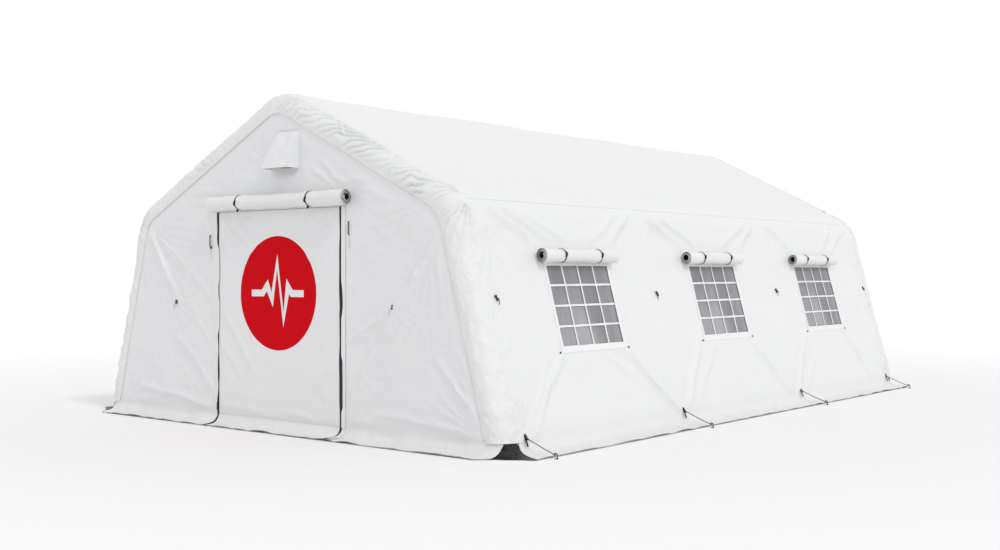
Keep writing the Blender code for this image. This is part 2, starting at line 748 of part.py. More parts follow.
def door(name, end):
    face = gable_frame(end, 0.0, 0.0)
    band = skirt_band(GABLE_SKIRT_REACH, CLOTH, DOOR_HEAD - SEAM)
    item = flat_outline(name, [band], DOOR_WIDTH, profile_frame(face))
    return finish(item, COOL_WHITE, 0.5)


def zip_centre():
    return DOOR_WIDTH / 2 + SEAM + ZIP_WIDTH / 2


def door_zip(name, end, way):
    face = gable_frame(end, way * zip_centre(), 0.0)
    band = skirt_band(GABLE_SKIRT_REACH, ZIP_THICKNESS, DOOR_HEAD)
    item = flat_outline(name, [band], ZIP_WIDTH - SEAM, profile_frame(face))
    return finish(item, BLACK, 0.5)


def zip_slider(name, end, way, height, cutters):
    # Waisted body that runs on the zip, with a bridge that carries the hanging pull
    stand = ZIP_THICKNESS - CLOTH + SEAM
    face = gable_frame(end, way * zip_centre(), height, stand)
    w, l = SLIDER_WIDTH / 2, SLIDER_LENGTH / 2
    outline = [(-w, l), (-w, l * 0.2), (-w * 0.6, -l), (w * 0.6, -l), (w, l * 0.2), (w, l), (0.0, l * 0.55)]
    body = flat_outline(name, [outline], SLIDER_HEIGHT, face @ Matrix.Translation((0, 0, SLIDER_HEIGHT / 2)))
    bridge_place = face @ Matrix.Translation((0, 0, SLIDER_HEIGHT + SLIDER_BRIDGE / 2 - SEAM))
    bridge = box("bridge", (SLIDER_BRIDGE, SLIDER_LENGTH * 0.6, SLIDER_BRIDGE + SEAM * 2),
                 bridge_place, cutters)
    pull = [(-0.003, 0.004), (-0.005, -PULL_LENGTH * 0.7), (-0.004, -PULL_LENGTH), (0.004, -PULL_LENGTH),
            (0.005, -PULL_LENGTH * 0.7), (0.003, 0.004)]
    hang = face @ Matrix.Translation((0, 0, SLIDER_HEIGHT + SLIDER_BRIDGE * 0.6))
    tab = flat_outline("pull", [pull], SLIDER_BRIDGE * 0.4, hang, cutters)
    fuse(body, [bridge, tab], cutters)
    return finish(body, BLACK, 0.4)


# Rolled cloth and its straps

def roll_section(radius, turns, pitch, strap):
    # A sheet that hangs from its sewn head, passes behind the roll and winds inwards.
    # Pairs of points on its outer and inner faces; a strap thickens the outermost turn
    back, centre = SEAM + ROLLED_CLOTH / 2, Vector((SEAM + radius, 0.0))
    pairs = [(Vector((SEAM, radius + ROLL_TAB)), Vector((back + ROLLED_CLOTH / 2, radius + ROLL_TAB)))]
    for k in range(round(turns * STEPS_PER_TURN) + 1):
        a = math.pi + math.tau * k / STEPS_PER_TURN
        out = Vector((math.cos(a), math.sin(a)))
        reach = radius - pitch * k / STEPS_PER_TURN
        lift = strap if 0 < k < STEPS_PER_TURN else 0.0
        pairs.append((centre + out * (reach + lift), centre + out * (reach - ROLLED_CLOTH)))
    return pairs


def cloth_roll(name, face, radius, length, turns, pitch, strap_spacing):
    # The section drawn out along the wall, thicker where each of two straps goes round it
    stations = [(-length / 2, 0.0)]
    for way in (-1, 1):
        middle, half = way * strap_spacing / 2, STRAP_WIDTH / 2
        stations += [(middle - half, 0.0), (middle - half + STRAP_THICKNESS / 2, STRAP_THICKNESS),
                     (middle + half - STRAP_THICKNESS / 2, STRAP_THICKNESS), (middle + half, 0.0)]
    stations.append((length / 2, 0.0))
    bm = bmesh.new()
    rings = []
    for x, strap in stations:
        pairs = roll_section(radius, turns, pitch, strap)
        rings.append([[bm.verts.new((x, p.y, p.x)) for p in pair] for pair in pairs])
    for a, b in zip(rings, rings[1:]):
        for k in range(len(a) - 1):
            bm.faces.new((a[k][0], a[k + 1][0], b[k + 1][0], b[k][0]))
            bm.faces.new((b[k][1], b[k + 1][1], a[k + 1][1], a[k][1]))
        bm.faces.new((a[0][0], b[0][0], b[0][1], a[0][1]))
        bm.faces.new((a[-1][0], a[-1][1], b[-1][1], b[-1][0]))
    for ring in (rings[0], rings[-1]):
        for k in range(len(ring) - 1):
            bm.faces.new((ring[k][0], ring[k][1], ring[k + 1][1], ring[k + 1][0]))
    bmesh.ops.recalc_face_normals(bm, faces=bm.faces)
    return finish(add(name, mesh_from(bm, name), face), WHITE, 0.5)


# Windows

def stepped_plate(name, xs, ys, height_of, place):
    # Rectangular cells between the lines xs and ys, each as high as height_of(i, j), on a flat base
    bm = bmesh.new()
    spots = {}

    def at(corner, z):
        if (corner, z) not in spots:
            spots[corner, z] = bm.verts.new((xs[corner[0]], ys[corner[1]], z))
        return spots[corner, z]

    heights = {(i, j): height_of(i, j) for i in range(len(xs) - 1) for j in range(len(ys) - 1)}
    for (i, j), top in heights.items():
        corners = [(i, j), (i + 1, j), (i + 1, j + 1), (i, j + 1)]
        bm.faces.new([at(c, top) for c in corners])
        bm.faces.new([at(c, 0.0) for c in reversed(corners)])
        beside = [(i, j - 1), (i + 1, j), (i, j + 1), (i - 1, j)]
        for a, b, near in zip(corners, corners[1:] + corners[:1], beside):
            low = heights.get(near, 0.0)
            if low < top:
                bm.faces.new([at(a, low), at(b, low), at(b, top), at(a, top)])
    return add(name, mesh_from(bm, name), place)


def tape_lines(size):
    # Places across a window: the net's edge, the frame, each tape's two sides, the frame, the net's edge
    cell = (size - 2 * WINDOW_BORDER - (WINDOW_CELLS - 1) * WINDOW_BAR) / WINDOW_CELLS
    lines = [-size / 2 - NET_LAP, -size / 2]
    for k in range(WINDOW_CELLS):
        start = -size / 2 + WINDOW_BORDER + k * (cell + WINDOW_BAR)
        lines += [start, start + cell]
    return lines + [size / 2, size / 2 + NET_LAP]


def window(name, face):
    # Crossed tapes in a sewn frame, on a net that laps the wall's inner face
    last = 2 * WINDOW_CELLS + 2

    def height_of(i, j):
        lap = i in (0, last) or j in (0, last)
        opening = i % 2 == 0 and j % 2 == 0
        return NET_THICKNESS if lap or opening else NET_THICKNESS + SEAM + CLOTH

    base = face @ Matrix.Translation((0, 0, -CLOTH - SEAM - NET_THICKNESS))
    xs, ys = tape_lines(WINDOW_WIDTH - 2 * SEAM), tape_lines(WINDOW_SLOPE_HEIGHT - 2 * SEAM)
    return finish(stepped_plate(name, xs, ys, height_of, base), NET_GREY, 0.7)


# Vents

def vent(name, end, cutters):
    # A hood of cloth under the ridge, flap in front and a cheek each side, with a net at its back
    face = gable_frame(end, VENT_SHIFT, VENT_TOP - VENT_HEIGHT / 2, SEAM)
    bm = bmesh.new()
    bmesh.ops.create_cube(bm, size=1.0)
    for v in bm.verts:
        reach = VENT_REACH if v.co.y < 0 else VENT_TOP_REACH
        v.co = Vector((v.co.x * VENT_WIDTH, v.co.y * VENT_HEIGHT, reach if v.co.z > 0 else 0.0))
    bm.normal_update()
    gone = [f for f in bm.faces if f.normal.z < -0.9 or f.calc_center_median().y < -VENT_HEIGHT * 0.49]
    bmesh.ops.delete(bm, geom=gone, context="FACES")
    item = add(name, mesh_from(bm, name), face)
    shell = item.modifiers.new("cloth", "SOLIDIFY")
    shell.thickness = CLOTH
    shell.offset = -1.0
    net = box("net", (VENT_WIDTH - CLOTH, VENT_HEIGHT - CLOTH, NET_THICKNESS),
              face @ Matrix.Translation((0, CLOTH / 4, NET_THICKNESS / 2 + SEAM / 2)))
    fuse(item, [net], cutters)
    return finish(item, COOL_WHITE, 0.5)


# Air valves on the inner side of the end arches' legs

def valve_frame(end, height):
    # The front arch's valve is on its left leg, the rear arch's on its right leg
    foot, knee = leg_axis(end, end * HALF_LENGTH)
    up = (knee - foot).normalized()
    inward = Vector((-end * up.z, 0.0, end * up.x))
    origin = foot + up * (height / up.z) + inward * ARCH_RADIUS
    return Matrix.Translation(origin) @ Matrix((up, inward.cross(up), inward)).transposed().to_4x4()


def air_valve(name, end, cutters):
    # Flange and threaded neck, its base cut to the round of the tube that it is welded to
    neck = VALVE_FLANGE_THICKNESS + VALVE_NECK_HEIGHT
    root = VALVE_FLANGE_THICKNESS - VALVE_BASE
    profile = [(0.0, neck), (VALVE_NECK_RADIUS, neck), (VALVE_NECK_RADIUS, VALVE_FLANGE_THICKNESS),
               (VALVE_FLANGE_RADIUS - 0.003, VALVE_FLANGE_THICKNESS), (VALVE_FLANGE_RADIUS, 0.0),
               (VALVE_FLANGE_RADIUS, root), (0.0, root)]
    item = turned(name, profile, valve_frame(end, VALVE_HEIGHT))
    foot, knee = leg_axis(end, end * HALF_LENGTH)
    cut(item, rod("valve_saddle", ARCH_RADIUS + SEAM, foot, knee, 48, cutters))
    return finish(item, BLACK, 0.5)


def valve_cap(name, end, cutters):
    # A cup over the valve's neck with a thumb bar, turned a quarter to lock
    face = valve_frame(end, VALVE_HEIGHT)
    bore = (VALVE_NECK_RADIUS + SEAM) / math.cos(math.pi / TURN_STEPS)
    low = VALVE_FLANGE_THICKNESS + SEAM
    inside = VALVE_FLANGE_THICKNESS + VALVE_NECK_HEIGHT + SEAM
    top, outer = inside + CAP_WALL, bore + CAP_WALL
    profile = [(0.0, top), (outer - CAP_WALL / 2, top), (outer, top - CAP_WALL / 2), (outer, low),
               (bore, low), (bore, inside), (0.0, inside)]
    item = turned(name, profile, face)
    grip = box("thumb_bar", (outer * 1.5, CAP_WALL * 2, CAP_GRIP),
               face @ Matrix.Translation((0, 0, top + (CAP_GRIP - CAP_WALL) / 2)), cutters)
    fuse(item, [grip], cutters)
    return finish(item, BLACK, 0.45)


# Hold-downs, and the webbing and toggles sewn on the walls

def tie_y(y):
    # The end arches' ties are a little inside the cover's sleeves
    if abs(y) > HALF_LENGTH - SEAM:
        return y - math.copysign(TIE_INSET, y)
    return y


def tie_patch(side, y):
    # Webbing sewn in a V on the wall's foot, that carries the tie cord
    w, h = TIE_PATCH_WIDTH / 2, TIE_PATCH_HEIGHT
    outline = [(-w, h), (-w * 0.72, h), (0.0, h * 0.3), (w * 0.72, h), (w, h),
               (h * 0.09, 0.0), (-h * 0.09, 0.0)]
    return flat_outline("patch", [outline], STRAP_THICKNESS, wall_frame(side, y, TIE_PATCH_FOOT))


def guy_toggle(face):
    tilt = Matrix.Rotation(math.radians(65), 4, "Z")
    lift = Matrix.Translation((0, 0, GUY_TOGGLE_RADIUS * 0.9))
    return barrel("toggle", GUY_TOGGLE_RADIUS, GUY_TOGGLE_LENGTH, face @ lift @ tilt)


def hold_down(name, side, y, cutters):
    # A tie cord drawn tight from the wall's webbing to the head of a driven peg
    peg_x = section_corners(0.0, CREASE_HEIGHT)[4].x + SIDE_SKIRT_REACH + PEG_OFFSET
    post, top = PEG_POST_RADIUS, PEG_HEIGHT
    profile = [(0.0, top), (post * 1.6, top * 0.97), (post * 1.6, top * 0.85), (post, top * 0.80),
               (post, PEG_PLATE), (PEG_RADIUS, PEG_PLATE * 0.6), (PEG_RADIUS, 0.0), (0.0, 0.0)]
    item = turned(name, profile, Matrix.Translation((side * peg_x, y, 0.0)), 10)
    face = wall_frame(side, y, TIE_PATCH_FOOT)
    foot = Vector((side * peg_x, y, PEG_HEIGHT * 0.5))
    sewn = face @ Vector((0.0, TIE_PATCH_HEIGHT * 0.12, 0.0))
    outward = face.to_3x3() @ Vector((0, 0, 1))
    tilt = outward.angle(foot - sewn)
    high = sewn + outward * (STRAP_THICKNESS / 2 + SEAM + TIE_CORD_RADIUS * math.sin(tilt))
    fuse(item, [rod("cord", TIE_CORD_RADIUS, high, foot, 6)], cutters)
    return finish(item, BLACK, 0.7)


# The whole tent

def build_frame(cutters):
    for name, y in zip(ARCH_NAMES, ARCH_PLACES):
        arch(name, y, cutters)
    purlins(cutters)
    groundsheet("groundsheet", cutters)
    for word, end in (("front", -1), ("rear", 1)):
        air_valve("air_valve_" + word, end, cutters)
        valve_cap("valve_cap_" + word, end, cutters)


def build_side(word, side, cutters):
    roof_panel("roof_panel_" + word, side)
    sewn = []
    for number, y in enumerate(ARCH_PLACES, start=1):
        sewn.append(tie_patch(side, tie_y(y)))
        sewn.append(guy_toggle(wall_frame(side, tie_y(y), SIDE_TOGGLE_HEIGHT)))
        hold_down(f"hold_down_{word}_{number}", side, tie_y(y), cutters)
    fuse(side_wall("side_wall_" + word, side), sewn, cutters)
    for number, place in enumerate(WINDOW_PLACES, start=1):
        window(f"window_{word}_{number}", wall_frame(side, place, WINDOW_CENTRE_HEIGHT))
        cloth_roll(f"blind_roll_{word}_{number}", wall_frame(side, place, BLIND_CENTRE_HEIGHT), BLIND_RADIUS,
                   BLIND_LENGTH, BLIND_TURNS, BLIND_PITCH, BLIND_STRAP_SPACING)


def build_gable(word, end, cutters):
    sewn = []
    for way in (-1, 1):
        sewn.append(guy_toggle(gable_frame(end, way * GABLE_TOGGLE_SPACING / 2, GABLE_TOGGLE_HEIGHT)))
    fuse(gable_wall("gable_wall_" + word, end, cutters), sewn, cutters)
    gable_sleeve("gable_sleeve_" + word, end, cutters)
    door("door_" + word, end)
    cloth_roll("door_roll_" + word, gable_frame(end, DOOR_ROLL_SHIFT, DOOR_ROLL_HEIGHT), DOOR_ROLL_RADIUS,
               DOOR_ROLL_LENGTH, DOOR_ROLL_TURNS, DOOR_ROLL_PITCH, DOOR_STRAP_SPACING)
    for side_word, way in (("left", -1), ("right", 1)):
        seen = end < 0 < way
        height = FRONT_RIGHT_SLIDER_Z if seen else PARKED_SLIDER_Z
        door_zip(f"door_zip_{word}_{side_word}", end, way)
        zip_slider(f"zip_slider_{word}_{side_word}", end, way, height, cutters)
    vent("vent_" + word, end, cutters)


clear_scene()
PARTS = collection("inflatable_medical_tent")
CUTTERS = collection("cutters")
build_frame(CUTTERS)
build_side("left", -1, CUTTERS)
build_side("right", 1, CUTTERS)
build_gable("front", -1, CUTTERS)
build_gable("rear", 1, CUTTERS)
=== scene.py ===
import math

import bpy
import numpy as np
from mathutils import Matrix, Vector, geometry


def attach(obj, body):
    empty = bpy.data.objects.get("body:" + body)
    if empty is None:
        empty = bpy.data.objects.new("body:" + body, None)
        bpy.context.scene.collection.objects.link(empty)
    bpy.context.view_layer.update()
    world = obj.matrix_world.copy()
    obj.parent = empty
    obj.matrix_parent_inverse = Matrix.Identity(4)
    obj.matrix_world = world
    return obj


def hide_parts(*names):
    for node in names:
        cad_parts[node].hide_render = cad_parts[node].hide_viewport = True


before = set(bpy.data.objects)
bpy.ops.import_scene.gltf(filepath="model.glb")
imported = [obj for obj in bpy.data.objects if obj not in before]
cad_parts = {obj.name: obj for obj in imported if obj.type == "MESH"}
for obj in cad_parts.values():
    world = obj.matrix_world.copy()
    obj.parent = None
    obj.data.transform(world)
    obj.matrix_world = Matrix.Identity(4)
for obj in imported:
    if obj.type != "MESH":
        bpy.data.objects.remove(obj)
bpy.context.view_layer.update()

# Sizes shared with the CAD, in metres: the cover's section, the plan and the cloth's seams
cover = {"footX": 2.26, "eaveX": 1.785, "eaveZ": 1.74, "ridgeZ": 2.63, "eaveRound": 0.32, "ridgeRound": 0.40,
         "creaseZ": 0.08, "halfLength": 3.165, "bay": 2.11, "tube": 0.15, "archDepth": 0.1543,
         "turnSteps": 24, "cloth": 0.0018, "cell": 0.0165, "tuck": 0.0022}
creaseZ, halfLength, archDepth = cover["creaseZ"], cover["halfLength"], cover["archDepth"]
gableFace = halfLength + archDepth
archPlaces = [cover["bay"] * i - halfLength for i in range(4)]
bayPlaces = [-cover["bay"], 0.0, cover["bay"]]
windowPlaces = [place * 0.953 - 0.05 for place in bayPlaces]
lean = math.atan2(cover["footX"] - cover["eaveX"], cover["eaveZ"])
ends, walls = ("Front", "Rear"), ("Right", "Left")


# ---- small helpers


def deselect():
    bpy.ops.object.select_all(action="DESELECT")


def take(piece):
    deselect()
    piece.select_set(True)
    bpy.context.view_layer.objects.active = piece
    return piece


def applyModifiers(piece):
    take(piece)
    for step in list(piece.modifiers):
        bpy.ops.object.modifier_apply(modifier=step.name)
    return piece


def settle(piece):
    take(piece)
    bpy.ops.object.transform_apply(location=True, rotation=True, scale=True)
    return piece


def joinAll(name, pieces):
    deselect()
    for piece in pieces:
        piece.select_set(True)
    bpy.context.view_layer.objects.active = pieces[0]
    bpy.ops.object.join()
    pieces[0].name = pieces[0].data.name = name
    return pieces[0]


def mendNormals(piece, merge=0.0):
    # Faces turned outwards, after points nearer than merge are joined
    take(piece)
    bpy.ops.object.mode_set(mode="EDIT")
    bpy.ops.mesh.select_all(action="SELECT")
    if merge:
        bpy.ops.mesh.remove_doubles(threshold=merge)
    bpy.ops.mesh.normals_make_consistent(inside=False)
    bpy.ops.object.mode_set(mode="OBJECT")
    return piece


def give(piece, look, body, *nodes, slot=None):
    piece.data.materials.clear()
    piece.data.materials.append(looks[look])
    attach(piece, body)
    if nodes:
        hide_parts(*nodes)
    return piece


def meshPiece(name, points, faces, uv):
    data = bpy.data.meshes.new(name)
    data.from_pydata(np.asarray(points, float).tolist(), [], [tuple(int(i) for i in f) for f in faces])
    data.polygons.foreach_set("use_smooth", [True] * len(data.polygons))
    corner = np.empty(len(data.loops), np.int64)
    data.loops.foreach_get("vertex_index", corner)
    data.uv_layers.new(name="clothMap").data.foreach_set("uv", np.asarray(uv, np.float32)[corner].ravel())
    piece = bpy.data.objects.new(name, data)
    bpy.context.scene.collection.objects.link(piece)
    return piece


def ringFaces(rows, around, first=0, caps=True):
    # Quads between neighbouring rings of points, and a face over each end
    faces = []
    for ring in range(first, first + (rows - 1) * around, around):
        for c in range(around):
            after = (c + 1) % around
            faces.append((ring + c, ring + after, ring + around + after, ring + around + c))
    if caps:
        faces += [tuple(range(first, first + around))[::-1],
                  tuple(range(first + (rows - 1) * around, first + rows * around))]
    return faces


def smoothStep(x, low, high):
    t = np.clip((x - low) / (high - low), 0.0, 1.0)
    return t * t * (3 - 2 * t)


def distanceTo(y, places):
    return np.min([np.abs(y - place) for place in places], axis=0)


def lengthsAlong(path):
    return np.concatenate([[0.0], np.cumsum(np.linalg.norm(np.diff(path, axis=0), axis=1))])


def unitTangents(path):
    tangent = np.gradient(path, axis=0)
    return tangent / np.linalg.norm(tangent, axis=1)[:, None]


def turned(points, half):
    # half 1 is the rear gable or the left wall: the front or the right one turned half way round
    points = np.asarray(points, float).copy()
    if half:
        points[..., :2] *= -1
    return points


def carried(matrix, local, half=0):
    # Places in a face's own frame carried to the tent's
    m = np.array(matrix)
    return turned(np.asarray(local, float) @ m[:3, :3].T + m[:3, 3], half)


def onWalls(places):
    # The places along both long walls, each numbered from the front
    for half, word in enumerate(walls):
        for number, y in enumerate(places, start=1):
            yield half, word, number, len(places) + 1 - number if half else number, y


# ---- camera, at the photograph's angle

view = {"place": (7.166, -9.408, 1.213), "turn": (89.86, 0, 39.19), "lens": 43.56, "sensor": 36}

deselect()
bpy.ops.object.camera_add(location=view["place"], rotation=[math.radians(angle) for angle in view["turn"]])
bpy.context.scene.camera = bpy.context.object
bpy.context.object.data.lens = view["lens"]
bpy.context.object.data.sensor_width = view["sensor"]
print("camera placed")


# ---- shader groups


def feed(tree, node, sockets):
    # Each input gets a value, or the output that feeds it
    for slot, value in sockets.items():
        if isinstance(value, bpy.types.NodeSocket):
            tree.links.new(value, node.inputs[slot])
        else:
            node.inputs[slot].default_value = value
    return node


def newNode(tree, kind, sockets, **fields):
    # The node's own fields come first, because some of them change its inputs
    node = tree.nodes.new("ShaderNode" + kind)
    for field, value in fields.items():
        setattr(node, field, value)
    return feed(tree, node, sockets)


def mathNode(tree, operation, *values, clamp=False):
    return newNode(tree, "Math", dict(enumerate(values)), operation=operation, use_clamp=clamp).outputs[0]


def mixColours(tree, mask, *colours):
    # A Mix node keeps its two colours in inputs 6 and 7 and their mix in output 2
    first, second = ((*colour, 1.0) if isinstance(colour, tuple) else colour for colour in colours)
    return newNode(tree, "Mix", {0: mask, 6: first, 7: second}, data_type="RGBA").outputs[2]


def bumpOf(tree, height, distance, **under):
    return newNode(tree, "Bump", {"Height": height, "Distance": distance, **under}).outputs[0]


def newGroup(name, inputs, outputs):
    # Inputs are named numbers, or None for a place; outputs are all numbers
    tree = bpy.data.node_groups.new(name, "ShaderNodeTree")
    for label, value in inputs.items():
        kind = "NodeSocketVector" if value is None else "NodeSocketFloat"
        socket = tree.interface.new_socket(name=label, in_out="INPUT", socket_type=kind)
        if value is not None:
            socket.default_value = value
    for label in outputs:
        tree.interface.new_socket(name=label, in_out="OUTPUT", socket_type="NodeSocketFloat")
    return tree, tree.nodes.new("NodeGroupInput").outputs, tree.nodes.new("NodeGroupOutput")


def buildWeave():
    # Plain weave pressed through a coating: threads both ways, in metres of cloth
    tree, given, end = newGroup("clothWeave", {"Place": None, "Threads": 700.0}, ["Height"])
    split = newNode(tree, "SeparateXYZ", {0: given["Place"]})
    ways = []
    for axis in (0, 1):
        run = mathNode(tree, "MULTIPLY", split.outputs[axis], given["Threads"])
        ways.append(mathNode(tree, "SINE", mathNode(tree, "MULTIPLY", run, math.tau)))
    feed(tree, end, {0: mathNode(tree, "MULTIPLY_ADD", mathNode(tree, "MULTIPLY", *ways), 0.5, 0.5)})
    return tree


def buildCrumple():
    # Soft creases left by packing, sharp along their crests, with finer ones between
    tree, given, end = newGroup("packingCreases", {"Place": None, "Size": 3.0}, ["Height", "Soft"])
    place, size = given["Place"], given["Size"]
    bend = newNode(tree, "TexNoise", {"Vector": place, "Scale": 2.2, "Detail": 2.0}).outputs["Color"]
    bent = newNode(tree, "VectorMath", {0: bend, 1: (0.35, 0.35, 0.0), 2: place}, operation="MULTIPLY_ADD").outputs[0]
    folds = newNode(tree, "TexVoronoi", {"Vector": bent, "Scale": size, "Smoothness": 0.35}, feature="SMOOTH_F1")
    fine = newNode(tree, "TexNoise", {"Vector": bent, "Scale": mathNode(tree, "MULTIPLY", size, 2.6), "Detail": 3.0},
                   noise_type="RIDGED_MULTIFRACTAL")
    soft = newNode(tree, "TexNoise", {"Vector": place, "Scale": mathNode(tree, "MULTIPLY", size, 0.5), "Detail": 4.0})
    crest = mathNode(tree, "MULTIPLY", fine.outputs["Fac"], 0.22)
    feed(tree, end, {"Height": mathNode(tree, "MULTIPLY_ADD", folds.outputs["Distance"], 0.8, crest),
                     "Soft": soft.outputs["Fac"]})
    return tree


def buildDust():
    # Grass dust and scuffs, strongest on the lowest few centimetres
    tree, given, end = newGroup("groundDust", {"Height above ground": 0.35}, ["Mask"])
    place = newNode(tree, "TexCoord", {}).outputs["Object"]
    height = newNode(tree, "SeparateXYZ", {0: place}).outputs["Z"]
    rise = mathNode(tree, "DIVIDE", height, given["Height above ground"])
    low = mathNode(tree, "POWER", mathNode(tree, "SUBTRACT", 1.0, rise, clamp=True), 2.0)
    patch = newNode(tree, "TexNoise", {"Vector": place, "Scale": 9.0, "Detail": 6.0})
    feed(tree, end, {0: mathNode(tree, "MULTIPLY", low, patch.outputs["Fac"])})
    return tree


def buildGrain():
    # Fine moulded grain with worn, smoother high spots
    tree, given, end = newGroup("mouldedGrain", {"Scale": 600.0}, ["Height", "Worn"])
    place = newNode(tree, "TexCoord", {}).outputs["Object"]
    grain = newNode(tree, "TexNoise", {"Vector": place, "Scale": given["Scale"], "Detail": 2.0})
    worn = newNode(tree, "TexNoise", {"Vector": place, "Scale": 40.0, "Detail": 4.0})
    feed(tree, end, {"Height": grain.outputs["Fac"], "Worn": worn.outputs["Fac"]})
    return tree


weaveGroup, creaseGroup, dustGroup, grainGroup = buildWeave(), buildCrumple(), buildDust(), buildGrain()


# ---- materials

# The first colour is the ground dust's; hollow is how far painted shade darkens the cloth in the hollows of folds
finish = {"dustAndFoldShade": (0.52, 0.49, 0.43), "hollow": 0.80, "clothWorn": 0.16, "hardWorn": 0.2,
          # The net sizes place the painted sheen on window and vent nets
          "netSlant": 38, "netStretch": (1.0, 0.22, 1.0), "netSheenSize": 6.0, "netThreads": 420.0}


def newLook(name):
    look = bpy.data.materials.new(name)
    look.use_nodes = True
    return look, look.node_tree, look.node_tree.nodes["Principled BSDF"]


def useGroup(tree, group, **values):
    return newNode(tree, "Group", values, node_tree=group).outputs


def clothLook(name, tint, shade, roughness, creaseSize, creaseDepth, weaveDepth, threads=700.0, dust=0.0, gloss=0.35):
    look, tree, shader = newLook(name)
    place = newNode(tree, "UVMap", {}, uv_map="clothMap").outputs[0]
    crumple = useGroup(tree, creaseGroup, Place=place, Size=creaseSize)
    weave = useGroup(tree, weaveGroup, Place=place, Threads=threads)
    hollow = newNode(tree, "Attribute", {}, attribute_name="hollow").outputs["Fac"]
    dusty = mathNode(tree, "MULTIPLY", useGroup(tree, dustGroup)["Mask"], dust)
    colour = mixColours(tree, crumple["Soft"], shade, tint)
    # Painted shade: the cloth darkens where the hollow attribute marks the bottoms of folds
    colour = mixColours(tree, hollow, colour, tuple(finish["hollow"] * part for part in shade))
    folds = bumpOf(tree, crumple["Height"], creaseDepth)
    worn = finish["clothWorn"]
    feed(tree, shader, {"Base Color": mixColours(tree, dusty, colour, finish["dustAndFoldShade"]), "Specular IOR Level": gloss,
                        "Roughness": mathNode(tree, "MULTIPLY_ADD", crumple["Soft"], worn, roughness - worn / 2),
                        "Normal": bumpOf(tree, weave["Height"], weaveDepth, Normal=folds)})
    return look


def hardLook(name, tint, worn, roughness, metallic=0.0, scale=600.0, depth=0.0003):
    look, tree, shader = newLook(name)
    grain = useGroup(tree, grainGroup, Scale=scale)
    spread = finish["hardWorn"]
    feed(tree, shader, {"Base Color": mixColours(tree, grain["Worn"], tint, worn), "Metallic": metallic,
                        "Roughness": mathNode(tree, "MULTIPLY_ADD", grain["Worn"], spread, roughness - spread / 2),
                        "Normal": bumpOf(tree, grain["Height"], depth)})
    return look


def netLook(name, tint, shade, openness):
    # Knitted insect net: fine holes both ways, a painted sheen in a slant band where the yarn would catch light, and
    # painted shade darker towards the net's top
    look, tree, shader = newLook(name)
    place = newNode(tree, "UVMap", {}, uv_map="clothMap").outputs[0]
    weave = useGroup(tree, weaveGroup, Place=place, Threads=finish["netThreads"])["Height"]
    slant = newNode(tree, "Mapping", {"Vector": place, "Rotation": (0, 0, math.radians(finish["netSlant"])),
                                      "Scale": finish["netStretch"]}).outputs[0]
    # Painted sheen in a slant band, and painted shade darker towards the top
    streak = useGroup(tree, creaseGroup, Place=slant, Size=finish["netSheenSize"])["Soft"]
    streak = mathNode(tree, "MULTIPLY_ADD", streak, 3.4, -1.2)
    height = newNode(tree, "SeparateXYZ", {0: place}).outputs["Y"]
    sheen = mathNode(tree, "MULTIPLY_ADD", height, -0.75, streak, clamp=True)
    feed(tree, shader, {"Base Color": mixColours(tree, sheen, shade, tint), "Roughness": 0.55,
                        "Alpha": mathNode(tree, "MULTIPLY_ADD", weave, openness, 1.0 - openness),
                        "Normal": bumpOf(tree, weave, 0.0004)})
    return look


